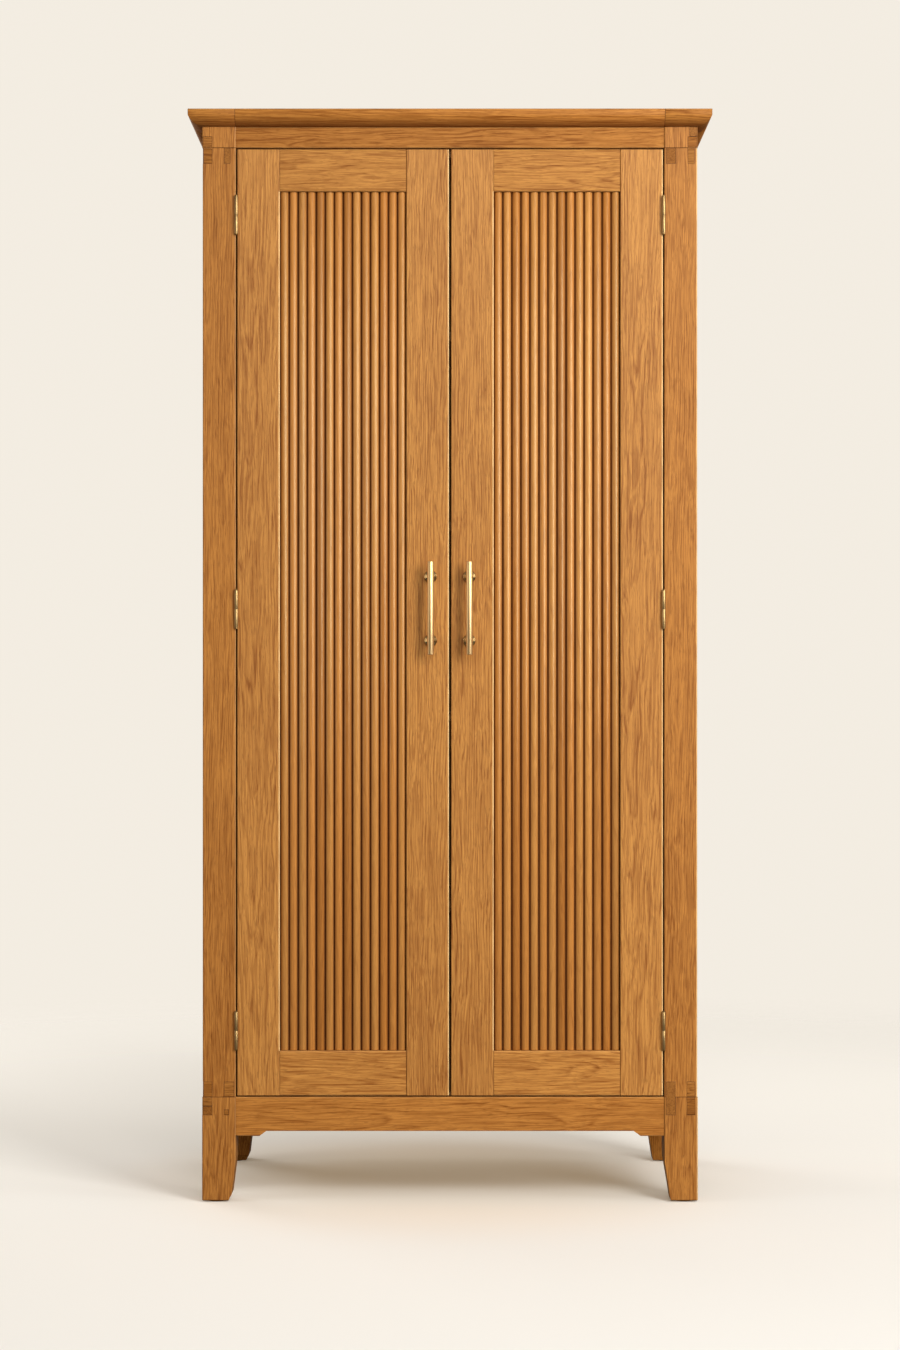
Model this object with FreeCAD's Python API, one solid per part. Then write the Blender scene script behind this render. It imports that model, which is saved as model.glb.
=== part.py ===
import FreeCAD
import Part

# Two-door oak linen press, frame-and-panel construction, in millimetres.
# +X is the right-hand side seen from the front, +Y is the back, +Z is up. The origin is on the floor,
# at the middle of the overall box (the bar handles reach furthest forward).
# A depth is measured back from the front plane of the feet and cap blocks.

import os

V = FreeCAD.Vector
ACROSS = V(1, 0, 0)
BACK = V(0, 1, 0)
UP = V(0, 0, 1)
SIDES = {"left": -1, "right": 1}

# --- carcase -----------------------------------------------------------------------------------------
BODY_W = 930.0  # across the feet and cap blocks
BODY_D = 520.0  # front plane to the back of the legs
HEIGHT = 2046.5
FOOT_W = 63.0  # square section of feet, cap blocks and back legs
POST_REVEAL = 1.0  # the front posts stand back this far, outside and in front, from feet and cap blocks
DOOR_SETBACK = 2.0  # doors and front rails stand back from the front plane
OPEN_LOW = 197.0  # bottom of the door opening, where post and foot are spliced
OPEN_HIGH = 1978.0  # top of the door opening, where post and cap block are spliced
RAIL_T = 22.0
EASE = 1.5  # rounding of the long arrises
JOINT_EASE = 0.6  # fine chamfer where two pieces meet end to end
GROOVE = 9.0  # depth of the panel grooves
FIT = 0.15  # air round tongues, tenons and keys
TENON_L = 24.0
TENON_T = 8.0
TENON_SHOULDER = 8.0

# --- feet --------------------------------------------------------------------------------------------
TAPER_TOP = 81.0  # height where the inner faces of a foot begin to taper
TOE_TOP = 14.0
FOOT_CHAMFER = 2.0
# How far the inner faces have come in at TOE_TOP and at the sole, for the feet of each side.
TAPERS = {"left": (8.0, 14.0), "right": (10.5, 12.5)}
GLIDE_T = 2.5
GLIDE_R = 17.0

# --- bottom rails with stepped brackets ----------------------------------------------------------------
APRON_DROP = 64.0  # height at mid length
BRACKET_DROP = 73.5  # height at the ends
BRACKET_RUN = 44.0
BRACKET_SLOPE = 13.0

# --- cornice -----------------------------------------------------------------------------------------
CORNICE_LOW = 2017.5
CORNICE_OUT = 25.0  # projection
CORNICE_TOE = 3.0  # projection at the underside
CORNICE_SWELL = (13.5, 4.4)  # mid point of the curve: projection, height over the underside
CORNICE_ARRIS = 1.2
FASCIA_H = 10.8
TOP_BOARD_T = 12.0
TOP_BOARD_LAP = 10.0

# --- keys that lock the front splices, let in flush ----------------------------------------------------
# (side, inner x, outer x, low z, high z, key wraps round the corner)
TOP_NOTCH = 1.6  # half of the notch left between the keys above and below a top splice
KEYS = [
    ("left", 446, 465, OPEN_HIGH + TOP_NOTCH, OPEN_HIGH + 21, True),
    ("left", 446, 465, OPEN_HIGH - 30, OPEN_HIGH - TOP_NOTCH, True),
    ("left", 412, 424, OPEN_HIGH - 30, OPEN_HIGH, False),
    ("left", 446, 465, OPEN_LOW, OPEN_LOW + 29, True),
    ("left", 446, 465, OPEN_LOW - 17, OPEN_LOW, True),
    ("left", 446, 465, OPEN_LOW - 34, OPEN_LOW - 17, True),
    ("left", 405, 424, OPEN_LOW, OPEN_LOW + 29, False),
    ("left", 415, 424, OPEN_LOW - 34, OPEN_LOW - 23, False),
    ("right", 449, 465, OPEN_HIGH + 21, CORNICE_LOW, True),
    ("right", 446, 465, OPEN_HIGH + TOP_NOTCH, OPEN_HIGH + 21, True),
    ("right", 446, 459, OPEN_HIGH - 30, OPEN_HIGH - TOP_NOTCH, False),
    ("right", 405, 424, OPEN_HIGH - 30, OPEN_HIGH, False),
    ("right", 444, 460, OPEN_LOW, OPEN_LOW + 29, False),
    ("right", 444, 460, OPEN_LOW - 34, OPEN_LOW, False),
    ("right", 405, 423, OPEN_LOW - 34, OPEN_LOW + 29, False),
]
KEY_SINK = 7.0  # depth of a key that doesn't wrap round the corner
KEY_LET_IN = 0.3  # keys lie this far below the face round them

# --- side panels, back boards and inside -----------------------------------------------------------------
SIDE_PANEL_T = 12.0
SIDE_PANEL_LIP = 3.0  # from the rails' inner face to the panel
BACK_BOARD_COUNT = 8
BACK_BOARD_T = 9.0
BACK_BOARD_LAP = 6.0
BACK_BOARD_LOW = OPEN_LOW - 40.0
BACK_BOARD_HIGH = OPEN_HIGH + 30.0
SHELF_COUNT = 4
SHELF_T = 18.0
SHELF_FRONT = 40.0  # depth of the shelves' front edge
SHELF_AIR = 1.0
BEARER_H = 22.0
BEARER_W = 24.0
STOP_H = 34.0
STOP_DROP = 14.0  # how far the door stop hangs below the top of the opening
STOP_T = 20.0
STOP_AIR = 1.0  # between the closed doors and the stop
CATCH_X = (30.0, 66.0)
CATCH_H = 14.0
CATCH_T = 12.0
STRIKE_T = 1.2
CATCH_AIR = 0.4

# --- doors -------------------------------------------------------------------------------------------
DOOR_GAP = 2.5
MEETING_GAP = 4.0
DOOR_T = 22.0
STILE_W = 80.0
DOOR_TOP_RAIL = 79.0
DOOR_LOW_RAIL = 84.0
DOOR_PANEL_T = 7.0
DOOR_TENON_L = 45.0
DOOR_TENON_SHOULDER = 12.0
REED_COUNT = 14
REED_R = 7.8
REED_SINK = 4.0  # crest of the reeds below the face of the door frame
REED_END = 0.4  # air at the ends of the reeds

# --- hinges ------------------------------------------------------------------------------------------
HINGE_LEVELS = (322.0, 1112.5, 1851.5)
BARREL_R = 3.5
BARREL_L = 69.0
KNUCKLES = 2  # lift-off hinges: the door's upper knuckle sits on the case's lower one
KNUCKLE_AIR = 0.2
PIN_R = 2.0
PIN_HEAD_R = 3.0
PIN_HEAD_L = 3.0
RUNNING_FIT = 0.05
LEAF_T = 2.0
LEAF_AIR = 0.25  # half of the gap between the closed leaves
SCREW_R = 1.6
SCREW_HEAD_R = 3.2
SCREW_L = 16.0
SCREW_DEPTH = 13.0  # from the front plane back to the screws
SCREW_STEP = 24.0

# --- handles -----------------------------------------------------------------------------------------
HANDLE_REACH = 35.0  # from the door face to the front of the bar
HANDLE_X = 36.3
HANDLE_Z = 1113.5
BAR_R = 6.25
BAR_L = 174.5
BAR_CHAMFER = 0.8
PILLAR_CENTRES = 120.0
NECK_R = 4.6
ROSE_R = 12.0
# Rose and neck of a pillar: (distance from the door, radius).
PILLAR_TURNING = [(0, ROSE_R), (2.2, ROSE_R), (3.8, 10.4), (5.6, 7.4), (8.0, 5.2), (11.0, NECK_R)]
BOLT_R = 2.0
BOLT_HEAD_R = 4.0
BOLT_HEAD_H = 2.6
BOLT_IN = 14.0  # how far the bolt enters the pillar
BOLT_HOLE_R = 2.4  # hole through the meeting stile

# --- places that follow from the sizes -----------------------------------------------------------------
HALF_W = BODY_W / 2
POST_IN = HALF_W - FOOT_W  # inner face of feet, posts and cap blocks
POST_OUT = HALF_W - POST_REVEAL
FRONT_Y = -(BODY_D - HANDLE_REACH + DOOR_SETBACK) / 2
LEG_DEPTH = BODY_D - FOOT_W  # front face of the back legs
DOOR_BACK = DOOR_SETBACK + DOOR_T
STOP_DEPTH = DOOR_BACK + STOP_AIR
SIDE_RAIL_OUT = HALF_W - DOOR_SETBACK
SIDE_RAIL_IN = SIDE_RAIL_OUT - RAIL_T
SIDE_TENON_X = SIDE_RAIL_IN + (RAIL_T - TENON_T) / 2
SIDE_PANEL_IN = SIDE_RAIL_IN + SIDE_PANEL_LIP
BACK_RAIL_DEPTH = BODY_D - DOOR_SETBACK - RAIL_T
BACK_BOARD_DEPTH = BACK_RAIL_DEPTH - BACK_BOARD_T
FRONT_TENON_DEPTH = DOOR_SETBACK + (RAIL_T - TENON_T) / 2
BACK_TENON_DEPTH = BACK_RAIL_DEPTH + (RAIL_T - TENON_T) / 2
BRACKET_LOW = OPEN_LOW - BRACKET_DROP
APRON_LOW = OPEN_LOW - APRON_DROP
LOW_TENON = (BRACKET_LOW + TENON_SHOULDER, OPEN_LOW - TENON_SHOULDER)
HIGH_TENON = (OPEN_HIGH + TENON_SHOULDER, CORNICE_LOW - TENON_SHOULDER)
FLOOR_LOW = OPEN_LOW - 12.0
FLOOR_HIGH = FLOOR_LOW + SHELF_T
TOP_BOARD_LOW = HEIGHT - TOP_BOARD_T
BAY_H = (OPEN_HIGH - FLOOR_HIGH - SHELF_COUNT * SHELF_T) / (SHELF_COUNT + 1)
CATCH_TOP = OPEN_HIGH - STOP_DROP
DOOR_LOW = OPEN_LOW + DOOR_GAP
DOOR_HIGH = OPEN_HIGH - DOOR_GAP
DOOR_EDGE = POST_IN - DOOR_GAP  # hinge edge of a door
MEETING_EDGE = MEETING_GAP / 2
REEDS_IN = MEETING_EDGE + STILE_W
REEDS_OUT = DOOR_EDGE - STILE_W
REEDS_LOW = DOOR_LOW + DOOR_LOW_RAIL
REEDS_HIGH = DOOR_HIGH - DOOR_TOP_RAIL
PANEL_DEPTH = DOOR_SETBACK + REED_SINK + REED_R  # front face of the board behind the reeds
HINGE_X = POST_IN - DOOR_GAP / 2
HINGE_DEPTH = POST_REVEAL - BARREL_R - 0.2  # the barrel stands just clear of the wood
LEAF_DEPTH = HINGE_DEPTH + BARREL_R + 0.3  # front edge of the leaves' plates
PILLAR_LEVELS = (HANDLE_Z - PILLAR_CENTRES / 2, HANDLE_Z + PILLAR_CENTRES / 2)

parts = {}


# --- helpers -----------------------------------------------------------------------------------------
def at(x, depth, z):
    """Point at x, at a depth behind the front plane, at height z."""
    return V(x, FRONT_Y + depth, z)


def board(x0, x1, depth0, depth1, z0, z1):
    """Plain box between two x values, two depths and two heights, each pair in any order."""
    (x0, x1), (depth0, depth1), (z0, z1) = sorted((x0, x1)), sorted((depth0, depth1)), sorted((z0, z1))
    return Part.makeBox(x1 - x0, depth1 - depth0, z1 - z0, at(x0, depth0, z0))


def runs_along(edge, direction):
    """True for a straight edge parallel to direction."""
    if edge.Curve.TypeId != "Part::GeomLine":
        return False
    start, end = edge.Vertexes[0].Point, edge.Vertexes[-1].Point
    return (end - start).normalize().cross(direction).Length < 1e-6


def ease(solid, direction, radius=EASE, where=lambda middle: True):
    """The solid with its arrises along direction rounded, or only those whose middle passes where."""
    arrises = [e for e in solid.Edges if runs_along(e, direction) and where(e.CenterOfMass)]
    return solid.makeFillet(radius, arrises)


def chamfer_ends(solid, direction, places, size=JOINT_EASE):
    """The solid with the edges round its flat ends chamfered; the ends lie at places along direction."""
    for place in places:
        rim = [
            e for e in solid.Edges
            if all(abs(vertex.Point.dot(direction) - place) < 1e-6 for vertex in e.Vertexes)
        ]
        solid = solid.makeChamfer(size, rim)
    return solid


def prism(points, run):
    """Closed outline through the points, pushed along the vector run."""
    return Part.Face(Part.makePolygon(points + points[:1])).extrude(run)


def turned(profile, start, direction):
    """Turned solid from (distance, radius) pairs, standing on start and pointing along direction."""
    points = [V(radius, 0, distance) for distance, radius in profile]
    solid = Part.Face(Part.makePolygon(points + points[:1])).revolve(V(0, 0, 0), UP, 360)
    solid.Placement = FreeCAD.Placement(start, FreeCAD.Rotation(UP, direction))
    return solid


def grown(box, air=FIT):
    """A box with air added all round, to cut the socket of a tenon."""
    b = box.BoundBox
    low = V(b.XMin - air, b.YMin - air, b.ZMin - air)
    return Part.makeBox(b.XLength + 2 * air, b.YLength + 2 * air, b.ZLength + 2 * air, low)


def cut_all(solid, tools):
    return solid.cut(Part.makeCompound(tools))


def fuse_all(solid, additions):
    return solid.multiFuse(additions).removeSplitter()


# --- joints between the posts, legs and rails ----------------------------------------------------------
def cross_tenon(side, depth, low, high):
    """Tenon of a rail that runs from side to side, where it enters a foot, cap block or leg."""
    return board(side * POST_IN, side * (POST_IN + TENON_L), depth, depth + TENON_T, low, high)


def side_tenon(side, low, high, at_front):
    """Tenon of a side rail, where it enters a front foot or cap block, or a back leg."""
    depth = FOOT_W - TENON_L if at_front else LEG_DEPTH
    x = side * SIDE_TENON_X, side * (SIDE_TENON_X + TENON_T)
    return board(*x, depth, depth + TENON_L, low, high)


def side_panel_slot(side):
    """Room for the tongues of a side panel, all round."""
    x = side * (SIDE_PANEL_IN - FIT), side * (SIDE_PANEL_IN + SIDE_PANEL_T + FIT)
    return board(*x, FOOT_W - GROOVE, LEG_DEPTH + GROOVE, OPEN_LOW - GROOVE, OPEN_HIGH + GROOVE)


# --- splice keys -----------------------------------------------------------------------------------------
def key_socket(side, x_in, x_out, low, high, wraps):
    """Room for one key, open to the face it is let into."""
    sink = x_out - x_in if wraps else KEY_SINK
    return board(side * x_in, side * (x_out + (1 if wraps else 0)), -1, sink, low, high)


def key_piece(side, x_in, x_out, low, high, wraps):
    """One key, a hair smaller than its socket; a key round the corner has that corner eased."""
    in_post = OPEN_LOW <= low and high <= OPEN_HIGH
    reveal = KEY_LET_IN + (POST_REVEAL if in_post else 0)
    sink = (x_out - x_in if wraps else KEY_SINK) - FIT
    outer = HALF_W - reveal if wraps else x_out - FIT
    key = board(side * (x_in + FIT), side * outer, reveal, sink, low + FIT, high - FIT)
    if not wraps:
        return key
    corner = at(side * outer, reveal, (low + high) / 2)
    return ease(key, UP, EASE, lambda middle: middle.distanceToPoint(corner) < EASE)


def cut_keys(solid, name):
    """The solid with the sockets of the keys of its side cut out."""
    return cut_all(solid, [key_socket(SIDES[of_side], *key) for of_side, *key in KEYS if of_side == name])


# --- feet, posts, cap blocks, back legs ------------------------------------------------------------------
def foot_outline(name, outer, inner, top):
    """(position, height) points of a foot, from its upright outer face to its tapering inner face."""
    inward = 1 if inner > outer else -1
    taper, toe = TAPERS[name]
    return [
        (outer, top),
        (outer, GLIDE_T + FOOT_CHAMFER),
        (outer + inward * FOOT_CHAMFER, GLIDE_T),
        (inner - inward * toe, GLIDE_T),
        (inner - inward * taper, TOE_TOP),
        (inner, TAPER_TOP),
        (inner, top),
    ]


def tapered_leg(name, outer_depth, inner_depth, top):
    """Square leg whose two inner faces taper near the floor."""
    side = SIDES[name]
    wide = foot_outline(name, side * HALF_W, side * POST_IN, top)
    deep = foot_outline(name, outer_depth, inner_depth, top)
    from_front = prism([at(x, min(outer_depth, inner_depth), z) for x, z in wide], BACK * FOOT_W)
    from_side = prism([at(side * POST_IN, depth, z) for depth, z in deep], ACROSS * (side * FOOT_W))
    return ease(from_front.common(from_side), UP)


def front_foot(name, side):
    foot = chamfer_ends(tapered_leg(name, 0, FOOT_W, OPEN_LOW), UP, [OPEN_LOW])
    tenons = [side_tenon(side, *LOW_TENON, True), cross_tenon(side, FRONT_TENON_DEPTH, *LOW_TENON)]
    return cut_keys(cut_all(foot, [grown(t) for t in tenons] + [side_panel_slot(side)]), name)


def front_post(name, side):
    post = board(side * POST_IN, side * POST_OUT, POST_REVEAL, FOOT_W, OPEN_LOW, OPEN_HIGH)
    post = chamfer_ends(ease(post, UP), UP, [OPEN_LOW, OPEN_HIGH])
    return cut_keys(cut_all(post, leaf_housings(side, True) + [side_panel_slot(side)]), name)


def cap_block(name, side):
    block = ease(board(side * POST_IN, side * HALF_W, 0, FOOT_W, OPEN_HIGH, CORNICE_LOW), UP)
    block = chamfer_ends(block, UP, [OPEN_HIGH])
    tenons = [side_tenon(side, *HIGH_TENON, True), cross_tenon(side, FRONT_TENON_DEPTH, *HIGH_TENON)]
    return cut_keys(cut_all(block, [grown(t) for t in tenons] + [side_panel_slot(side)]), name)


def back_leg(name, side):
    tenons = []
    for low, high in (LOW_TENON, HIGH_TENON):
        tenons.append(side_tenon(side, low, high, False))
        tenons.append(cross_tenon(side, BACK_TENON_DEPTH, low, high))
    board_groove = board(
        side * POST_IN, side * (POST_IN + GROOVE), BACK_BOARD_DEPTH, BACK_RAIL_DEPTH,
        BACK_BOARD_LOW, BACK_BOARD_HIGH,
    )
    sockets = [grown(t) for t in tenons + [board_groove]]
    return cut_all(tapered_leg(name, BODY_D, LEG_DEPTH, CORNICE_LOW), sockets + [side_panel_slot(side)])


def build_uprights():
    for name, side in SIDES.items():
        parts[f"front_{name}_foot"] = [front_foot(name, side)]
        parts[f"front_{name}_post"] = [front_post(name, side)]
        parts[f"front_{name}_cap_block"] = [cap_block(name, side)]
        parts[f"back_{name}_leg"] = [back_leg(name, side)]
    parts["corner_keys"] = [key_piece(SIDES[name], *key) for name, *key in KEYS]
    middle = (FOOT_CHAMFER + FOOT_W - TAPERS["left"][1]) / 2
    parts["foot_glides"] = [
        Part.makeCylinder(GLIDE_R, GLIDE_T, at(side * (HALF_W - middle), depth, 0), UP)
        for side in SIDES.values()
        for depth in (middle, BODY_D - middle)
    ]


# --- rails and side panels -------------------------------------------------------------------------------
def bracket_rail(half_length, place, thickness):
    """Bottom rail with a shallow stepped bracket at each end; place turns (along, z) into a point."""
    step = half_length - BRACKET_RUN
    half = [
        (half_length, OPEN_LOW),
        (half_length, BRACKET_LOW),
        (step, BRACKET_LOW),
        (step - BRACKET_SLOPE, APRON_LOW),
    ]
    other_half = [(-along, z) for along, z in reversed(half)]
    return prism([place(along, z) for along, z in half + other_half], thickness)


def build_front_and_back_rails():
    front_low = bracket_rail(POST_IN, lambda along, z: at(along, DOOR_SETBACK, z), BACK * RAIL_T)
    front_high = board(-POST_IN, POST_IN, DOOR_SETBACK, STOP_DEPTH, OPEN_HIGH, CORNICE_LOW)
    back_low = bracket_rail(POST_IN, lambda along, z: at(along, BACK_RAIL_DEPTH, z), BACK * RAIL_T)
    back_high = board(
        -POST_IN, POST_IN, BACK_RAIL_DEPTH, BACK_RAIL_DEPTH + RAIL_T, OPEN_HIGH, TOP_BOARD_LOW,
    )
    rails = {
        "front_bottom_rail": (ease(front_low, ACROSS), FRONT_TENON_DEPTH, LOW_TENON),
        "front_top_rail": (ease(front_high, ACROSS), FRONT_TENON_DEPTH, HIGH_TENON),
        "back_bottom_rail": (back_low, BACK_TENON_DEPTH, LOW_TENON),
        "back_top_rail": (back_high, BACK_TENON_DEPTH, HIGH_TENON),
    }
    for node, (rail, depth, span) in rails.items():
        parts[node] = [fuse_all(rail, [cross_tenon(side, depth, *span) for side in SIDES.values()])]


def build_sides():
    middle = (FOOT_W + LEG_DEPTH) / 2
    half_length = (LEG_DEPTH - FOOT_W) / 2
    tongue = GROOVE - 1
    for name, side in SIDES.items():
        def inner_face(along, z):
            return at(side * SIDE_RAIL_IN, middle + along, z)

        low = bracket_rail(half_length, inner_face, ACROSS * (side * RAIL_T))
        high = board(side * SIDE_RAIL_IN, side * SIDE_RAIL_OUT, FOOT_W, LEG_DEPTH, OPEN_HIGH, CORNICE_LOW)
        for where, rail, span in (("bottom", low, LOW_TENON), ("top", high, HIGH_TENON)):
            tenons = [side_tenon(side, *span, at_front) for at_front in (True, False)]
            rail = fuse_all(ease(rail, BACK), tenons)
            parts[f"{name}_{where}_rail"] = [rail.cut(side_panel_slot(side))]
        parts[f"{name}_side_panel"] = [board(
            side * SIDE_PANEL_IN, side * (SIDE_PANEL_IN + SIDE_PANEL_T),
            FOOT_W - tongue, LEG_DEPTH + tongue, OPEN_LOW - tongue, OPEN_HIGH + tongue,
        )]


# --- back boards, bottom, shelves, stop and catches --------------------------------------------------------
def build_back_boards():
    """Upright boards lapped half over one another, housed in grooves of the back legs."""
    edge = POST_IN + GROOVE - 1
    pitch = 2 * edge / BACK_BOARD_COUNT
    half_depth = BACK_BOARD_DEPTH + BACK_BOARD_T / 2
    boards = []
    for i in range(BACK_BOARD_COUNT):
        start, end = -edge + i * pitch, -edge + (i + 1) * pitch - 2 * FIT
        start_lap = 0 if i == 0 else BACK_BOARD_LAP
        end_lap = 0 if i == BACK_BOARD_COUNT - 1 else BACK_BOARD_LAP
        inner = board(start, end, BACK_BOARD_DEPTH, half_depth, BACK_BOARD_LOW, BACK_BOARD_HIGH)
        outer = board(
            start + start_lap, end + end_lap, half_depth, BACK_RAIL_DEPTH, BACK_BOARD_LOW, BACK_BOARD_HIGH,
        )
        boards.append(fuse_all(inner, [outer]))
    parts["back_boards"] = boards


def notched_shelf(low, front, half_width):
    """Shelf notched round the posts and legs, with air to the sides and back."""
    shelf = board(-half_width, half_width, front, BACK_BOARD_DEPTH - SHELF_AIR, low, low + SHELF_T)
    notches = []
    for side in SIDES.values():
        x = side * (POST_IN - SHELF_AIR), side * HALF_W
        notches.append(board(*x, 0, FOOT_W + SHELF_AIR, low, low + SHELF_T))
        notches.append(board(*x, LEG_DEPTH - SHELF_AIR, BODY_D, low, low + SHELF_T))
    return cut_all(shelf, notches)


def build_inside():
    parts["bottom_board"] = [notched_shelf(FLOOR_LOW, STOP_DEPTH, SIDE_RAIL_IN - SHELF_AIR)]
    levels = [FLOOR_HIGH + i * BAY_H + (i - 1) * SHELF_T for i in range(1, SHELF_COUNT + 1)]
    for i, level in enumerate(levels, start=1):
        parts[f"shelf_{i}"] = [notched_shelf(level, SHELF_FRONT, SIDE_PANEL_IN - SHELF_AIR)]
    bearers = []
    for level, wall in [(FLOOR_LOW, SIDE_RAIL_IN)] + [(level, SIDE_PANEL_IN) for level in levels]:
        for side in SIDES.values():
            x = side * (wall - BEARER_W), side * wall
            bearers.append(board(*x, FOOT_W, LEG_DEPTH, level - BEARER_H, level))
    parts["shelf_bearers"] = bearers

    stop = board(-POST_IN, POST_IN, STOP_DEPTH, STOP_DEPTH + STOP_T, CATCH_TOP, CATCH_TOP + STOP_H)
    parts["door_stop"] = [stop]
    front = DOOR_BACK + STRIKE_T + CATCH_AIR
    parts["magnetic_catches"] = [
        board(side * CATCH_X[0], side * CATCH_X[1], front, front + CATCH_T, CATCH_TOP - CATCH_H, CATCH_TOP)
        for side in SIDES.values()
    ]


# --- cornice and top board ---------------------------------------------------------------------------------
def cornice_bar(place, run):
    """Length of cornice, an upright fascia over a swelling curve; place turns (out, z) into a point."""
    fascia_low = HEIGHT - FASCIA_H
    swell_out, swell_up = CORNICE_SWELL
    swell = place(swell_out, CORNICE_LOW + swell_up)
    curve = Part.Arc(place(CORNICE_OUT, fascia_low), swell, place(CORNICE_TOE, CORNICE_LOW))
    corners = [
        (CORNICE_TOE, CORNICE_LOW),
        (-FOOT_W, CORNICE_LOW),
        (-FOOT_W, HEIGHT),
        (CORNICE_OUT - CORNICE_ARRIS, HEIGHT),
        (CORNICE_OUT, HEIGHT - CORNICE_ARRIS),
        (CORNICE_OUT, fascia_low),
    ]
    lines = [Part.makeLine(place(*start), place(*end)) for start, end in zip(corners, corners[1:])]
    return Part.Face(Part.Wire([curve.toShape()] + lines)).extrude(run)


def front_cornice(x0, x1):
    return cornice_bar(lambda out, z: at(x0, -out, z), ACROSS * (x1 - x0))


def side_cornice(side, depth0, depth1):
    return cornice_bar(lambda out, z: at(side * (HALF_W + out), depth0, z), BACK * (depth1 - depth0))


def build_top():
    lap = POST_IN + TOP_BOARD_LAP
    top = board(-lap, lap, FOOT_W - TOP_BOARD_LAP, BODY_D, TOP_BOARD_LOW, HEIGHT)
    parts["top_board"] = [top]
    middle = chamfer_ends(front_cornice(-POST_IN, POST_IN), ACROSS, [-POST_IN, POST_IN])
    parts["cornice_front"] = [middle.cut(top)]
    for name, side in SIDES.items():
        reach = side * (HALF_W + CORNICE_OUT)
        corner = front_cornice(*sorted((side * POST_IN, reach)))
        corner = corner.common(side_cornice(side, -CORNICE_OUT, FOOT_W))
        parts[f"cornice_{name}_corner"] = [corner.cut(top)]
        side_return = chamfer_ends(side_cornice(side, FOOT_W, BODY_D), BACK, [FRONT_Y + FOOT_W])
        parts[f"cornice_{name}_return"] = [side_return.cut(top)]


# --- hinges ------------------------------------------------------------------------------------------------
def hinge_screws(side, level, on_case):
    """Three countersunk screws, driven from the closed face of a leaf into the wood."""
    outward = side if on_case else -side
    profile = [(0, 0), (0, SCREW_HEAD_R), (LEAF_T, SCREW_R), (SCREW_L, SCREW_R), (SCREW_L, 0)]
    x = side * HINGE_X + outward * LEAF_AIR
    return [
        turned(profile, at(x, SCREW_DEPTH, level + step * SCREW_STEP), ACROSS * outward)
        for step in (-1, 0, 1)
    ]


def hinge_leaf(side, level, on_case):
    """One leaf: a plate let into the wood, and its share of the knuckles."""
    outward = side if on_case else -side
    x = side * HINGE_X + outward * LEAF_AIR, side * HINGE_X + outward * (LEAF_AIR + LEAF_T)
    low = level - BARREL_L / 2
    knuckle = (BARREL_L - (KNUCKLES - 1) * KNUCKLE_AIR) / KNUCKLES
    plate = board(*x, LEAF_DEPTH, DOOR_BACK, low, low + BARREL_L)
    knuckles = []
    for k in range(0 if on_case else 1, KNUCKLES, 2):
        z = low + k * (knuckle + KNUCKLE_AIR)
        knuckles.append(board(*x, HINGE_DEPTH, LEAF_DEPTH + 1, z, z + knuckle))
        knuckles.append(Part.makeCylinder(BARREL_R, knuckle, at(side * HINGE_X, HINGE_DEPTH, z), UP))
    bore = Part.makeCylinder(PIN_R + RUNNING_FIT, BARREL_L, at(side * HINGE_X, HINGE_DEPTH, low), UP)
    return cut_all(fuse_all(plate, knuckles), [bore] + hinge_screws(side, level, on_case))


def leaf_housings(side, on_case):
    """Housings for the leaves and pilot holes for their screws, in a post or a hinge stile."""
    outward = side if on_case else -side
    x = side * HINGE_X + outward * (LEAF_AIR + LEAF_T)
    housings = []
    for level in HINGE_LEVELS:
        half = BARREL_L / 2
        housings.append(board(side * HINGE_X, x, -1, DOOR_BACK, level - half, level + half))
        for step in (-1, 0, 1):
            start = at(x - outward * 0.5, SCREW_DEPTH, level + step * SCREW_STEP)
            housings.append(Part.makeCylinder(SCREW_R + RUNNING_FIT, SCREW_L, start, ACROSS * outward))
    return housings


def hinge_pin(side, level):
    """Pin with a domed head beyond each end of the barrel."""
    reach = BARREL_L / 2
    upper = [
        (reach + 0.1, PIN_R),
        (reach + 0.1, PIN_HEAD_R),
        (reach + PIN_HEAD_L - 1, PIN_HEAD_R),
        (reach + PIN_HEAD_L, PIN_HEAD_R - 1.3),
        (reach + PIN_HEAD_L, 0),
    ]
    lower = [(-distance, radius) for distance, radius in reversed(upper)]
    return turned(lower + upper, at(side * HINGE_X, HINGE_DEPTH, level), UP)


def build_case_hinges():
    places = [(side, level) for side in SIDES.values() for level in HINGE_LEVELS]
    parts["case_hinge_leaves"] = [hinge_leaf(side, level, True) for side, level in places]
    parts["hinge_pins"] = [hinge_pin(side, level) for side, level in places]
    parts["case_hinge_screws"] = [s for side, level in places for s in hinge_screws(side, level, True)]


# --- doors -------------------------------------------------------------------------------------------------
def door_tenons(side, low, high):
    """The two tenons of a door rail, in line with the panel groove."""
    depths = PANEL_DEPTH, PANEL_DEPTH + DOOR_PANEL_T
    return [
        board(side * REEDS_IN, side * (REEDS_IN - DOOR_TENON_L), *depths, low, high),
        board(side * REEDS_OUT, side * (REEDS_OUT + DOOR_TENON_L), *depths, low, high),
    ]


def stile(side, x_in, x_out, cuts):
    """Upright of a door frame, with the cuts of its joints taken out."""
    plain = ease(board(side * x_in, side * x_out, DOOR_SETBACK, DOOR_BACK, DOOR_LOW, DOOR_HIGH), UP)
    return cut_all(chamfer_ends(plain, UP, [DOOR_LOW, DOOR_HIGH]), cuts)


def door_rail(side, low, high, groove, tenons):
    """Top or bottom rail of a door frame, with its panel groove and tenons."""
    rail = ease(board(side * REEDS_IN, side * REEDS_OUT, DOOR_SETBACK, DOOR_BACK, low, high), ACROSS)
    rail = chamfer_ends(rail, ACROSS, [side * REEDS_IN, side * REEDS_OUT])
    return fuse_all(rail.cut(groove), tenons)


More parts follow.
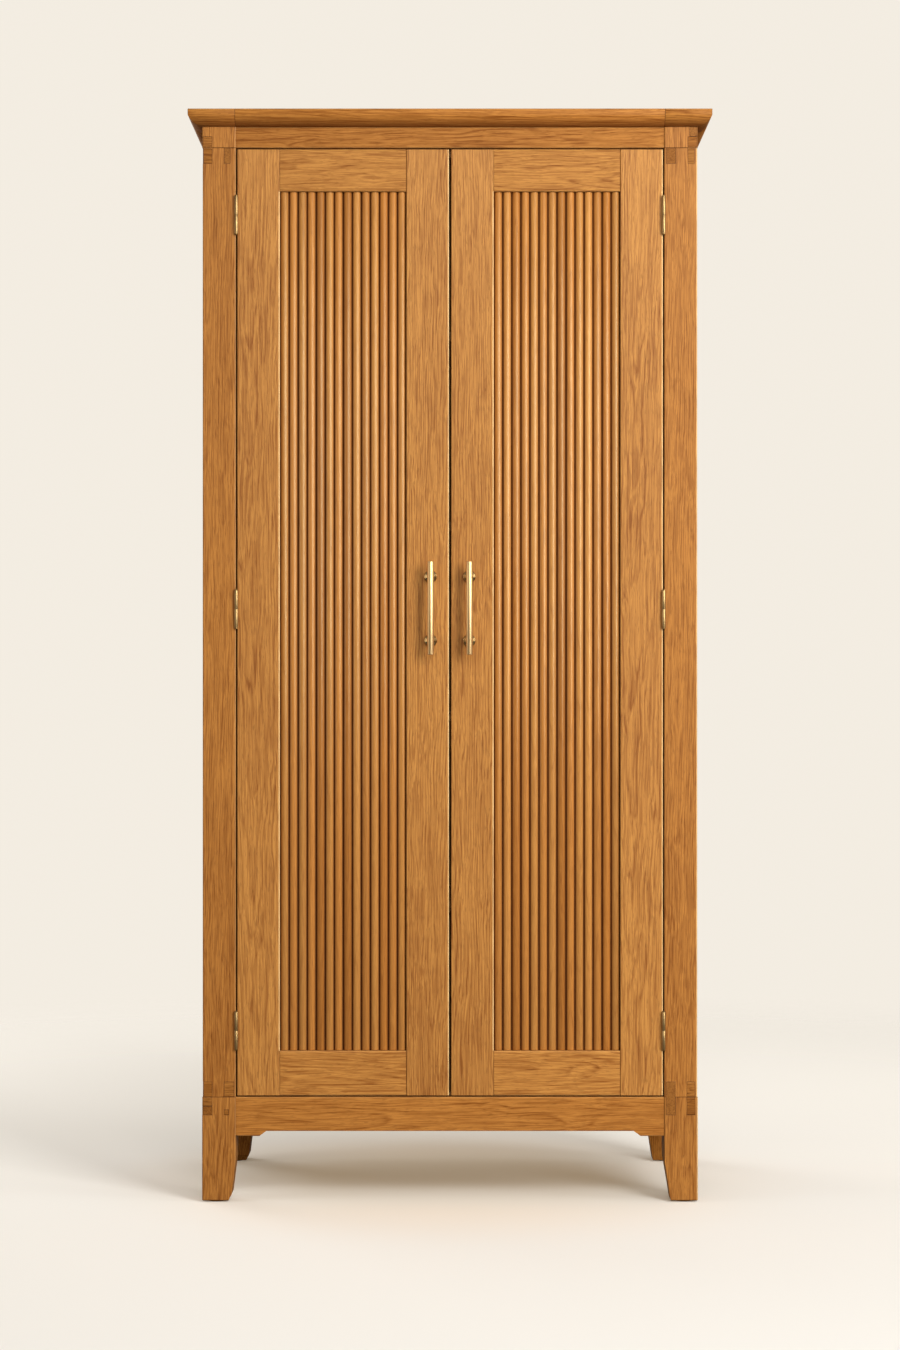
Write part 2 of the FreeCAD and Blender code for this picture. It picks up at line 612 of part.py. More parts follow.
def reed(x):
    """Half-round reed glued to the face of the door panel."""
    low = REEDS_LOW + REED_END
    start, end = at(x - REED_R, PANEL_DEPTH, low), at(x + REED_R, PANEL_DEPTH, low)
    crest = at(x, PANEL_DEPTH - REED_R, low)
    outline = Part.Wire([Part.Arc(start, crest, end).toShape(), Part.makeLine(end, start)])
    return Part.Face(outline).extrude(UP * (REEDS_HIGH - REEDS_LOW - 2 * REED_END))


def build_door_frame(name, side):
    groove = board(
        side * (REEDS_IN - GROOVE), side * (REEDS_OUT + GROOVE),
        PANEL_DEPTH - FIT, PANEL_DEPTH + DOOR_PANEL_T + FIT, REEDS_LOW - GROOVE, REEDS_HIGH + GROOVE,
    )
    top_tenons = door_tenons(side, REEDS_HIGH + GROOVE + 2, DOOR_HIGH - DOOR_TENON_SHOULDER)
    low_tenons = door_tenons(side, DOOR_LOW + DOOR_TENON_SHOULDER, REEDS_LOW - GROOVE - 2)
    sockets = [groove] + [grown(tenon) for tenon in top_tenons + low_tenons]
    bolt_holes = [
        Part.makeCylinder(BOLT_HOLE_R, DOOR_T + 2, at(side * HANDLE_X, DOOR_SETBACK - 1, z), BACK)
        for z in PILLAR_LEVELS
    ]
    parts[f"{name}_door_hinge_stile"] = [
        stile(side, REEDS_OUT, DOOR_EDGE, sockets + leaf_housings(side, False))
    ]
    parts[f"{name}_door_meeting_stile"] = [stile(side, MEETING_EDGE, REEDS_IN, sockets + bolt_holes)]
    parts[f"{name}_door_top_rail"] = [door_rail(side, REEDS_HIGH, DOOR_HIGH, groove, top_tenons)]
    parts[f"{name}_door_bottom_rail"] = [door_rail(side, DOOR_LOW, REEDS_LOW, groove, low_tenons)]
    tongue = GROOVE - 1
    parts[f"{name}_door_panel"] = [board(
        side * (REEDS_IN - tongue), side * (REEDS_OUT + tongue),
        PANEL_DEPTH, PANEL_DEPTH + DOOR_PANEL_T, REEDS_LOW - tongue, REEDS_HIGH + tongue,
    )]
    pitch = (REEDS_OUT - REEDS_IN) / REED_COUNT
    parts[f"{name}_door_reeds"] = [reed(side * (REEDS_IN + (i + 0.5) * pitch)) for i in range(REED_COUNT)]


# --- handles -----------------------------------------------------------------------------------------------
def handle_pillar(side, z):
    """Turned pillar with a domed rose, saddled to the bar and tapped for its bolt."""
    reach = HANDLE_REACH - BAR_R
    foot = at(side * HANDLE_X, DOOR_SETBACK, z)
    pillar = turned([(0, 0)] + PILLAR_TURNING + [(reach, NECK_R), (reach, 0)], foot, -BACK)
    saddle_start = at(side * HANDLE_X, DOOR_SETBACK - reach, z - 2 * BAR_R)
    saddle = Part.makeCylinder(BAR_R, 4 * BAR_R, saddle_start, UP)
    tapped = Part.makeCylinder(BOLT_R + RUNNING_FIT, BOLT_IN + 1, foot, -BACK)
    return cut_all(pillar, [saddle, tapped])


def handle_bolt(side, z):
    """Bolt through the meeting stile, its head on the back of the door."""
    length = DOOR_T + BOLT_IN
    profile = [
        (-BOLT_HEAD_H, 0),
        (-BOLT_HEAD_H, BOLT_HEAD_R - 0.8),
        (-BOLT_HEAD_H + 0.8, BOLT_HEAD_R),
        (0, BOLT_HEAD_R),
        (0, BOLT_R),
        (length, BOLT_R),
        (length, 0),
    ]
    return turned(profile, at(side * HANDLE_X, DOOR_BACK, z), -BACK)


def handle_bar(side):
    half = BAR_L / 2
    upper = [(half - BAR_CHAMFER, BAR_R), (half, BAR_R - BAR_CHAMFER), (half, 0)]
    lower = [(-distance, radius) for distance, radius in reversed(upper)]
    middle = at(side * HANDLE_X, DOOR_SETBACK - HANDLE_REACH + BAR_R, HANDLE_Z)
    return turned(lower + upper, middle, UP)


def build_door_hardware(name, side):
    parts[f"{name}_handle_bar"] = [handle_bar(side)]
    parts[f"{name}_handle_pillars"] = [handle_pillar(side, z) for z in PILLAR_LEVELS]
    parts[f"{name}_door_hinge_leaves"] = [hinge_leaf(side, level, False) for level in HINGE_LEVELS]
    screws = [s for level in HINGE_LEVELS for s in hinge_screws(side, level, False)]
    parts[f"{name}_door_screws"] = screws + [handle_bolt(side, z) for z in PILLAR_LEVELS]
    parts[f"{name}_door_strike"] = [board(
        side * CATCH_X[0], side * CATCH_X[1], DOOR_BACK, DOOR_BACK + STRIKE_T,
        CATCH_TOP - CATCH_H, CATCH_TOP - 1,
    )]


# --- build and write -----------------------------------------------------------------------------------------
def write_part(node, solids):
    shape = solids[0] if len(solids) == 1 else Part.makeCompound(solids)
    if not shape.isValid() or len(shape.Solids) != len(solids):
        raise ValueError(f"{node} is not {len(solids)} sound solids")
    shape.exportStep(f"parts/{node}.step")


build_uprights()
build_front_and_back_rails()
build_sides()
build_back_boards()
build_inside()
build_top()
build_case_hinges()
for side_name, side_sign in SIDES.items():
    build_door_frame(side_name, side_sign)
    build_door_hardware(side_name, side_sign)

os.makedirs("parts", exist_ok=True)
for node_name, node_solids in parts.items():
    write_part(node_name, node_solids)
print(len(parts), "nodes,", sum(len(solids) for solids in parts.values()), "solids, front plane at y", FRONT_Y)
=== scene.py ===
"""Two-door oak linen press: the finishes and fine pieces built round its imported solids.

Lengths are in metres. +X is the right-hand side seen from the front, +Y the back, +Z up.
"""

import logging
import math
import random
from dataclasses import dataclass, field
from enum import Enum
from typing import Callable, Iterable, Mapping, Sequence, Union

import bmesh
import bpy
from mathutils import Euler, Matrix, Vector


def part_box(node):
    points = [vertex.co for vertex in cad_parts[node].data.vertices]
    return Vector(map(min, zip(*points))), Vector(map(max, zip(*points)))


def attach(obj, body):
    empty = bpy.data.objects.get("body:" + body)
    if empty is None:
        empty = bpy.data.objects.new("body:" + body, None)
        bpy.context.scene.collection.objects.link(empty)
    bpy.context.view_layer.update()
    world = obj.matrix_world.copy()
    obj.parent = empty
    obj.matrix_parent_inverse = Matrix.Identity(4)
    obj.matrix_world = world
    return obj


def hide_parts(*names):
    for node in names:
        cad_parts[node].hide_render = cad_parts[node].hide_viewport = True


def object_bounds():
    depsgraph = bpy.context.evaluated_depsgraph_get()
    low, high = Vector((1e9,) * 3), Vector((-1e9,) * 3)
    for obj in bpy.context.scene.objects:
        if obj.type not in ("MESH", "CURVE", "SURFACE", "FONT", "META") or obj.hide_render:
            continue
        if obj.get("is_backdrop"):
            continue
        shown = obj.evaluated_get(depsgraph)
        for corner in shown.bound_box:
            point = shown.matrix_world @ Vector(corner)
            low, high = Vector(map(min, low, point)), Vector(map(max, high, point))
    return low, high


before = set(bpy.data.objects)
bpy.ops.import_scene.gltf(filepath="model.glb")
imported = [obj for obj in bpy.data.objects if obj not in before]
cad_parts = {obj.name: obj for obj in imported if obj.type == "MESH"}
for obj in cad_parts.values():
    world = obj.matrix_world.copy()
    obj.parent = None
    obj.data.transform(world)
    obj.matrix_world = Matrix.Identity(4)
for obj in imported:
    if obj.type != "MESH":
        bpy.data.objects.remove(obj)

log = logging.getLogger("linen_press")

Colour = tuple[float, float, float]
Point = Sequence[float]
Number = Union["Value", float]

MM = 0.001
TOUCH = 1e-5  # two places nearer than this are the same
FACING = 0.999  # a normal with at least this share along an axis looks along it

# Planes and levels that several sub-assemblies share.
FRONT = -243.5 * MM  # front plane of feet and cap blocks
HALF_WIDTH = 465.0 * MM  # outer faces of feet and cap blocks
POST_INNER = 402.0 * MM  # inner faces of the front posts
OPENING = (197.0 * MM, 1978.0 * MM)  # bottom and top of the door opening
CORNICE_LOW = 2017.5 * MM
DOOR_BACK = -219.5 * MM
PANEL_FRONT = -229.7 * MM  # front face of the door panels
PANEL_SPAN = (82.0 * MM, 319.5 * MM)  # from the stile at the middle of the press to the hinge stile
PANEL_LEVELS = (283.9 * MM, 1896.1 * MM)


# --- named choices ---------------------------------------------------------------------------------------
class Side(Enum):
    """The two sides of the press, each with the sign of its x."""

    LEFT = -1
    RIGHT = 1

    @property
    def label(self) -> str:
        """The side's name as the nodes spell it."""
        return self.name.lower()


class Grain(Enum):
    """Direction of the grain, with the turn that lays it along the third axis of a pattern."""

    UPRIGHT = (2, (0.0, 0.0, 0.0))
    ACROSS = (0, (0.0, math.pi / 2, 0.0))
    DEPTHWISE = (1, (math.pi / 2, 0.0, 0.0))

    @property
    def axis(self) -> int:
        """Index of the axis that the grain follows."""
        return self.value[0]

    @property
    def turn(self) -> Euler:
        """Turn from the object's axes to the pattern's."""
        return Euler(self.value[1])


class Cut(Enum):
    """How a board was sawn: where the heart of the tree lies from its middle, in pattern axes."""

    FLAT = (0.010, 0.052)
    RIFT = (0.072, 0.056)
    QUARTER = (0.150, 0.018)


class Tint(Enum):
    """Tints of the oiled oak: its early wood and its late wood."""

    HONEY = ((0.560, 0.250, 0.058), (0.256, 0.081, 0.014))
    AMBER = ((0.522, 0.213, 0.044), (0.231, 0.069, 0.010))
    RUSSET = ((0.470, 0.180, 0.032), (0.205, 0.056, 0.007))
    PALE = ((0.610, 0.295, 0.082), (0.245, 0.088, 0.017))
    PLAIN = ((0.600, 0.300, 0.095), (0.310, 0.122, 0.027))

    @property
    def early(self) -> Colour:
        """Colour of the wood grown in spring."""
        return self.value[0]

    @property
    def late(self) -> Colour:
        """Colour of the wood grown in summer."""
        return self.value[1]


class Element(Enum):
    """What a selection in edit mode is made of."""

    EDGE = "EDGE"
    FACE = "FACE"


# --- shader bench ----------------------------------------------------------------------------------------
class Value:
    """The output of a node, ready for plain arithmetic."""

    def __init__(self, bench: "Bench", socket: bpy.types.NodeSocket) -> None:
        """Hold the socket and the bench that it belongs to."""
        self.bench = bench
        self.socket = socket

    def _with(self, operation: str, first: Number, second: Number) -> "Value":
        """Add one Math node.

        Args:
            operation: the node's operation.
            first: its first value.
            second: its second value.

        Returns:
            The node's result.
        """
        return self.bench.node("ShaderNodeMath", {"operation": operation}, {0: first, 1: second})

    def __add__(self, other: Number) -> "Value":
        """Sum with a value or number."""
        return self._with("ADD", self, other)

    def __sub__(self, other: Number) -> "Value":
        """Difference from a value or number."""
        return self._with("SUBTRACT", self, other)

    def __rsub__(self, other: Number) -> "Value":
        """Number less this value."""
        return self._with("SUBTRACT", other, self)

    def __mul__(self, other: Number) -> "Value":
        """Product with a value or number."""
        return self._with("MULTIPLY", self, other)

    def __truediv__(self, other: Number) -> "Value":
        """Quotient by a value or number."""
        return self._with("DIVIDE", self, other)

    __radd__ = __add__
    __rmul__ = __mul__

    def larger(self, other: Number) -> "Value":
        """The larger of the two."""
        return self._with("MAXIMUM", self, other)

    def whole(self) -> "Value":
        """The whole number below."""
        return self._with("FLOOR", self, 0.0)

    def fraction(self) -> "Value":
        """What is left over the whole number below."""
        return self._with("FRACT", self, 0.0)

    def eased(self, start: float, end: float, low: float = 0.0, high: float = 1.0) -> "Value":
        """Ease from one number to another while this value goes from start to end.

        Args:
            start: this value where the result is low.
            end: this value where the result is high.
            low: result up to start.
            high: result from end on.

        Returns:
            The eased value.
        """
        return self.bench.node(
            "ShaderNodeMapRange", {"interpolation_type": "SMOOTHSTEP"},
            {"Value": self, "From Min": start, "From Max": end, "To Min": low, "To Max": high},
        )


class Bench:
    """The node tree of one material, with the few moves that every finish uses."""

    def __init__(self, name: str) -> None:
        """Start a material that has a Principled shader and its output.

        Args:
            name: name of the material.
        """
        self.material = bpy.data.materials.new(name)
        self.material.use_nodes = True
        self.tree = self.material.node_tree
        self.shader = self.tree.nodes["Principled BSDF"]

    def node(
        self,
        kind: str,
        settings: Mapping[str, object] | None = None,
        inputs: Mapping[str | int, object] | None = None,
        output: str | int = 0,
    ) -> Value:
        """Add a node.

        Args:
            kind: the node's type.
            settings: its own settings; "stops" are (place, grey) pairs of a colour ramp.
            inputs: the values or links of its sockets.
            output: the socket that is wanted.

        Returns:
            That output.
        """
        made = self.tree.nodes.new(kind)
        for name, value in (settings or {}).items():
            if name == "stops":
                self.place_stops(made.color_ramp, value)
            else:
                setattr(made, name, value)
        for name, value in (inputs or {}).items():
            self._give(made.inputs[name], value)
        return Value(self, made.outputs[output])

    def _give(self, socket: bpy.types.NodeSocket, value: object) -> None:
        """Link a value to a socket, or set the socket's own number or colour.

        Args:
            socket: the socket.
            value: the value, number or colour.
        """
        if isinstance(value, Value):
            self.tree.links.new(value.socket, socket)
        else:
            socket.default_value = value

    @staticmethod
    def place_stops(ramp: bpy.types.ColorRamp, stops: Sequence[tuple[float, float]]) -> None:
        """Give a colour ramp its grey stops.

        Args:
            ramp: the colour ramp.
            stops: (place, grey) pairs.
        """
        while len(ramp.elements) < len(stops):
            ramp.elements.new(1.0)
        for element, (place, grey) in zip(ramp.elements, stops):
            element.position = place
            element.color = (grey, grey, grey, 1.0)

    def place(self) -> Value:
        """Object coordinates, in metres."""
        return self.node("ShaderNodeTexCoord", output="Object")

    def vector(self, operation: str, first: object, second: object) -> Value:
        """Combine two vectors by an operation."""
        return self.node("ShaderNodeVectorMath", {"operation": operation}, {0: first, 1: second})

    def length(self, vector: Value) -> Value:
        """Length of a vector."""
        return self.node("ShaderNodeVectorMath", {"operation": "LENGTH"}, {0: vector}, 1)

    def axes(self, vector: Value) -> tuple[Value, Value, Value]:
        """The three parts of a vector."""
        split = self.node("ShaderNodeSeparateXYZ", inputs={0: vector}).socket.node
        return tuple(Value(self, socket) for socket in split.outputs)

    def noise(self, place: Value, pitch: Point, detail: float = 2.0, rough: float = 0.5) -> Value:
        """Stretched noise from 0 to 1.

        Args:
            place: where it is read.
            pitch: how often it varies along each axis, per metre.
            detail: octaves.
            rough: weight of the finer octaves.

        Returns:
            The noise.
        """
        stretched = self.vector("MULTIPLY", place, tuple(pitch))
        return self.node(
            "ShaderNodeTexNoise",
            inputs={"Vector": stretched, "Scale": 1.0, "Detail": detail, "Roughness": rough},
        )

    def grey(self, value: Number) -> Value:
        """A grey of that brightness."""
        return self.node("ShaderNodeCombineColor", inputs={0: value, 1: value, 2: value})

    def blend(self, share: Number, first: object, second: object, how: str = "MIX") -> Value:
        """Mix two colours.

        Args:
            share: how much of the second.
            first: the colour underneath.
            second: the colour on top.
            how: the blend.

        Returns:
            The mixed colour.
        """
        first, second = (c if isinstance(c, Value) else (*c, 1.0) for c in (first, second))
        return self.node(
            "ShaderNodeMix", {"data_type": "RGBA", "blend_type": how}, {0: share, 6: first, 7: second}, 2,
        )

    def relief(self, height: Value, strength: float, depth: float) -> Value:
        """Surface relief from a height.

        Args:
            height: the height, about 0 to 1.
            strength: how much of the relief shows.
            depth: size of one unit of height.

        Returns:
            The normal.
        """
        return self.node(
            "ShaderNodeBump", inputs={"Height": height, "Strength": strength, "Distance": depth},
        )

    def shade(self, inputs: Mapping[str, object]) -> bpy.types.Material:
        """Set the shader's sockets.

        Args:
            inputs: the values or links of its sockets.

        Returns:
            The finished material.
        """
        for name, value in inputs.items():
            self._give(self.shader.inputs[name], value)
        return self.material


# --- finishes --------------------------------------------------------------------------------------------
@dataclass(frozen=True)
class Span:
    """The box that a board shows, from which its arrises and joint ends are found."""

    low: tuple[float, float, float]
    high: tuple[float, float, float]

    @classmethod
    def of_node(cls, node: str, clip: Mapping[int, float] | None = None) -> "Span":
        """The box of a node, cut back to its shoulders where it has tenons.

        Args:
            node: name of the node.
            clip: for an axis, the largest distance from the middle plane that shows.

        Returns:
            The visible box.
        """
        low, high = (list(corner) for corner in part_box(node))
        for axis, reach in (clip or {}).items():
            low[axis], high[axis] = max(low[axis], -reach), min(high[axis], reach)
        return cls(tuple(low), tuple(high))

    @property
    def middle(self) -> Vector:
        """Middle of the box."""
        return (Vector(self.low) + Vector(self.high)) / 2


@dataclass(frozen=True)
class Strips:
    """Boards side by side within one node, along an axis."""

    axis: int
    start: float
    pitch: float


class Figure:
    """How often the patterns of oak vary along the three axes of the log, per metre.

    WANDER has a reach beside each pitch. SEASON says how late the wood is at shares of its year.
    """

    FIBRES = (680.0, 680.0, 15.0)
    STREAKS = (400.0, 400.0, 7.0)
    PALE = (270.0, 270.0, 6.0)
    CLOUDS = (11.0, 11.0, 2.0)
    PORES = (900.0, 900.0, 75.0)
    RING_STRENGTH = (28.0, 28.0, 4.5)
    WEAR = (60.0, 60.0, 25.0)
    WANDER = (((7.0, 7.0, 0.9), 24.0 * MM), ((30.0, 30.0, 6.0), 11.0 * MM), ((90.0, 90.0, 14.0), 3.5 * MM))
    SEASON = ((0.0, 0.75), (0.12, 0.10), (0.50, 0.06), (0.78, 0.45), (0.92, 1.0))


class Reach:
    """Where each pattern of oak sets in and where it is full, as the noise goes from 0 to 1."""

    FIBRES = (0.40, 0.62)
    STREAKS = (0.44, 0.66)
    PALE = (0.52, 0.74)
    CLOUDS = (0.35, 0.70)
    PORES = (0.60, 0.74)
    RING_STRENGTH = (0.30, 0.60)
    WEAR = (0.30, 0.62)


class Late:
    """How much late wood each pattern adds, or PALE takes off, and how much there is in plain wood."""

    RINGS = 0.42
    STREAKS = 0.34
    FIBRES = 0.30
    PALE = 0.20
    CLOUDS = 0.16
    PLAIN = 0.30


class Matt:
    """What fibres and pores add to the roughness of oak, what rubbing takes off it on the pale arrises, and
    what it gains under the painted shade in hollows.
    """

    FIBRES = 0.12
    PORES = 0.16
    RUBBED = 0.12
    GRIME = 0.50


class Relief:
    """How far fibres stand up, pores and rings lie deep and arrises fall away, in millimetres."""

    FIBRES = 0.05
    PORES = 0.06
    RINGS = 0.03
    ARRIS = 1.1


class Edge:
    """Distances over which the pale arris (rubbing and painted highlight) and darkness at a joint set in."""

    RUBBED = (2.8 * MM, 1.4 * MM)
    JOINT = (1.1 * MM, 0.25 * MM)


class Sawing:
    """How boards lie in their logs, in radians and metres, and how the strips of one panel differ."""

    LEAN = (0.022, 0.040)
    SKEW = 0.012
    ALONG = 3.0
    STRIP_STEP = 0.73
    STRIP_CHANCE = (-0.2, 1.2)
    STRIP_TONE = (0.84, 1.10)


class Stain:
    """Colours of oak where it isn't its own: pores, joints, rubbed arrises that also carry painted highlight,
    and painted shade in hollows.
    """

    PORE: Colour = (0.105, 0.032, 0.006)
    # Pale arris: rubbing, and painted highlight where the light falls.
    RUBBED: Colour = (0.930, 0.610, 0.270)
    JOINT: Colour = (0.070, 0.022, 0.006)
    # Painted shade: the colour laid in grooves and low on the cornice's curve, where shade falls.
    GRIME: Colour = (0.105, 0.020, 0.002)


@dataclass(frozen=True)
class Oak:
    """Oak under a satin oil: growth rings, fibres, pores, arrises pale with rubbing and painted highlight,
    dark joint ends.

    A board's own depth of tone darkens all its colours, and hollow gives the places, along hollow_axis,
    between which painted shade darkens the wood, where shade falls in grooves and under mouldings.
    """

    name: str
    span: Span
    grain: Grain
    tint: Tint = Tint.HONEY
    depth: float = 1.0
    cut: Cut = Cut.RIFT
    ring: float = 4.2 * MM
    figure: float = 1.0
    strips: Strips | None = None
    hollow: tuple[float, float] | None = None
    hollow_axis: int = 1
    soiled: float = 0.90
    worn: float = 0.20
    rubbed_part: tuple[float, float] | None = None
    joint_dark: float = 0.6
    rough: float = 0.35
    gloss: float = 0.26
    sheen: Colour = (1.0, 0.98, 0.80)
    rounding: float = 2.2 * MM

    def material(self) -> bpy.types.Material:
        """Lay out the oak's nodes.

        Returns:
            The material.
        """
        bench = Bench(self.name)
        place = bench.place()
        pattern, shade = self._in_the_log(bench, place)
        rings = self._rings(bench, pattern)
        fibres = bench.noise(pattern, Figure.FIBRES, 1.0, 0.6)
        streaks = bench.noise(pattern, Figure.STREAKS, 0.0)
        pale = bench.noise(pattern, Figure.PALE, 1.0, 0.6)
        clouds = bench.noise(pattern, Figure.CLOUDS, 2.0)
        pores = bench.noise(pattern, Figure.PORES, 0.0).eased(*Reach.PORES)

        late = rings * Late.RINGS + streaks.eased(*Reach.STREAKS) * Late.STREAKS
        late = late + fibres.eased(*Reach.FIBRES) * Late.FIBRES
        late = late - pale.eased(*Reach.PALE) * Late.PALE + clouds.eased(*Reach.CLOUDS, 0.0, Late.CLOUDS)
        late = late * self.figure + Late.PLAIN * (1.0 - self.figure)
        colour = bench.blend(late, self._toned(self.tint.early), self._toned(self.tint.late))
        colour = bench.blend(pores * (0.28 * self.figure), colour, self._toned(Stain.PORE))
        arris, joint, edge = self._edges(bench, place)
        breaks = bench.noise(place, Figure.WEAR, 2.0).eased(*Reach.WEAR, 0.6, 1.0)
        # Pale arrises: rubbing, and painted highlight where the light falls on the right-hand arrises of
        # uprights.
        colour = bench.blend(arris * breaks * self.worn, colour, self._toned(Stain.RUBBED))
        colour = bench.blend(joint * self.joint_dark, colour, self._toned(Stain.JOINT))
        rough = (fibres * Matt.FIBRES + pores * Matt.PORES) * self.figure - arris * Matt.RUBBED + self.rough
        # Painted shade: hollows darken where shade falls, in grooves and low on the cornice's curve.
        if self.hollow:
            grime = bench.axes(place)[self.hollow_axis].eased(*self.hollow)
            colour = bench.blend(grime * self.soiled, colour, Stain.GRIME)
            rough = rough + grime * Matt.GRIME
        if self.strips:
            colour = bench.blend(1.0, colour, shade, "MULTIPLY")

        height = fibres * Relief.FIBRES - pores * Relief.PORES - rings * Relief.RINGS
        height = height * self.figure - edge * edge * Relief.ARRIS
        return bench.shade({
            "Base Color": colour,
            "Roughness": rough,
            "Normal": bench.relief(height, 1.0, MM),
            "IOR": 1.46,
            "Specular IOR Level": self.gloss,
            "Specular Tint": (*self.sheen, 1.0),
        })

    def _toned(self, colour: Colour) -> Colour:
        """A colour at this board's own depth of tone."""
        return tuple(channel * self.depth for channel in colour)

    def _in_the_log(self, bench: Bench, place: Value) -> tuple[Value, Value | None]:
        """Lay the board into its log, so that grain and rings run as they were sawn.

        Args:
            bench: the material's bench.
            place: object coordinates.

        Returns:
            Coordinates in the log, and the tone of each strip where there are strips.
        """
        chance = random.Random(self.name)
        aside, behind = self.cut.value
        turn = self.grain.turn.to_matrix()
        lean = chance.choice((-1, 1)) * chance.uniform(*Sawing.LEAN)
        tilt = Euler((lean, chance.uniform(-Sawing.SKEW, Sawing.SKEW), 0.0))
        turn = tilt.to_matrix() @ turn
        aside = chance.choice((-1, 1)) * aside
        heart = Vector((aside, behind, chance.uniform(-Sawing.ALONG, Sawing.ALONG)))
        shift = heart - turn @ self.span.middle
        shade = None
        if self.strips:
            across = bench.axes(place)[self.strips.axis]
            index = ((across - self.strips.start) / self.strips.pitch).whole()
            hashed = bench.node("ShaderNodeTexWhiteNoise", {"noise_dimensions": "1D"}, {"W": index})
            shade = bench.grey(hashed.eased(*Sawing.STRIP_CHANCE, *Sawing.STRIP_TONE))
            step = bench.node("ShaderNodeCombineXYZ", inputs={self.grain.axis: index * Sawing.STRIP_STEP})
            place = bench.vector("ADD", place, step)
        pattern = bench.node(
            "ShaderNodeMapping", {"vector_type": "POINT"},
            {"Vector": place, "Location": tuple(shift), "Rotation": tuple(turn.to_euler())},
        )
        for pitch, reach in Figure.WANDER:
            pattern = bench.vector("ADD", pattern, self._wander(bench, pattern, pitch, reach))
        return pattern, shade

    @staticmethod
    def _wander(bench: Bench, pattern: Value, pitch: Point, reach: float) -> Value:
        """Sideways wandering of the grain.

        Args:
            bench: the material's bench.
            pattern: coordinates in the log.
            pitch: how often the grain turns along each axis, per metre.
            reach: how far it strays.

        Returns:
            The shift of each point.
        """
        stretched = bench.vector("MULTIPLY", pattern, tuple(pitch))
        noise = bench.node(
            "ShaderNodeTexNoise", inputs={"Vector": stretched, "Scale": 1.0, "Detail": 1.0}, output="Color",
        )
        centred = bench.vector("SUBTRACT", noise, (0.5, 0.5, 0.5))
        return bench.vector("MULTIPLY", centred, (reach, reach, 0.0))

    def _rings(self, bench: Bench, pattern: Value) -> Value:
        """Growth rings round the heart, pale in spring and dark in summer, of uneven strength.

        Args:
            bench: the material's bench.
            pattern: coordinates in the log.

        Returns:
            How late in its year the wood grew, from 0 to 1.
        """
        across = bench.vector("MULTIPLY", pattern, (1.0, 1.0, 0.0))
        year = (bench.length(across) / self.ring).fraction()
        season = bench.node("ShaderNodeValToRGB", {"stops": Figure.SEASON}, {0: year})
        strength = bench.noise(pattern, Figure.RING_STRENGTH, 1.0).eased(*Reach.RING_STRENGTH, 0.25, 1.0)
        return season * strength

    def _edges(self, bench: Bench, place: Value) -> tuple[Value, Value, Value]:
        """Find the arrises along the grain and the ends that meet other pieces.

        Args:
            bench: the material's bench.
            place: object coordinates.

        Returns:
            A mask of the pale arrises, rubbed and with painted highlight (of upright boards, only the
            right-hand ones, where the light falls), one of the joint ends, and how near an arris is, from 0
            to 1.
        """
        from_low = bench.vector("SUBTRACT", place, self.span.low)
        from_high = bench.vector("SUBTRACT", self.span.high, place)
        inside = bench.vector("MINIMUM", from_low, from_high)
        reach = list(bench.axes(inside))
        along = reach.pop(self.grain.axis)
        arris = reach[0].larger(reach[1])
        near = (1.0 - arris / self.rounding).larger(0.0)
        rubbed_and_lit = arris.eased(*Edge.RUBBED)
        # On upright boards only the right-hand arrises are pale: painted highlight where the light falls.
        if self.grain is Grain.UPRIGHT:
            middle, (x, _, z) = self.span.middle.x, bench.axes(place)
            rubbed_and_lit = rubbed_and_lit * x.eased(middle - MM, middle + MM)
            if self.rubbed_part:
                low, high = self.rubbed_part
                rubbed_and_lit = rubbed_and_lit * z.eased(low - MM, low + MM) * z.eased(high + MM, high - MM)
        return rubbed_and_lit, along.eased(*Edge.JOINT), near


@dataclass(frozen=True)
class SatinBrass:
    """Pale brass, drawn and brushed along one direction under a thin lacquer."""

    name: str
    grain: Grain = Grain.UPRIGHT
    colour: Colour = (0.820, 0.590, 0.290)
    aged: Colour = (0.330, 0.190, 0.065)
    rough: float = 0.34
    age: float = 0.20
    brush_across: float = 900.0
    brush_along: float = 24.0

    def material(self) -> bpy.types.Material:
        """Lay out the brass's nodes.

        Returns:
            The material.
        """
        bench = Bench(self.name)
        place = bench.place()
        pitch = [self.brush_across] * 3
        pitch[self.grain.axis] = self.brush_along
        brushing = bench.noise(place, pitch, 1.0)
        handling = bench.noise(place, (90.0, 90.0, 70.0), 3.0, 0.6).eased(0.38, 0.72)
        colour = bench.blend(handling * self.age, self.colour, self.aged)
        colour = bench.blend(brushing.eased(0.35, 0.75) * 0.10, colour, self.aged)
        return bench.shade({
            "Base Color": colour,
            "Metallic": 1.0,
            "Roughness": brushing * 0.04 + handling * (0.25 * self.age) + (self.rough - 0.03),
            "Normal": bench.relief(brushing, 0.10, 0.02 * MM),
        })


@dataclass(frozen=True)
class ZincSteel:
    """Zinc plated steel with fine mottling and scratches."""

    name: str
    bright: Colour = (0.62, 0.63, 0.63)
    dull: Colour = (0.44, 0.45, 0.47)
    scratch: Colour = (0.80, 0.80, 0.78)

    def material(self) -> bpy.types.Material:
        """Lay out the steel's nodes.

        Returns:
            The material.
        """
        bench = Bench(self.name)
        place = bench.place()
        mottle = bench.noise(place, (420.0, 420.0, 420.0), 3.0, 0.6)
        scratches = bench.noise(place, (300.0, 300.0, 5200.0), 1.0).eased(0.55, 0.80)
        colour = bench.blend(mottle.eased(0.35, 0.70), self.bright, self.dull)
        return bench.shade({
            "Base Color": bench.blend(scratches * 0.3, colour, self.scratch),
            "Metallic": 1.0,
            "Roughness": mottle * 0.20 + scratches * 0.15 + 0.26,
            "Normal": bench.relief(scratches, 0.15, 0.03 * MM),
        })


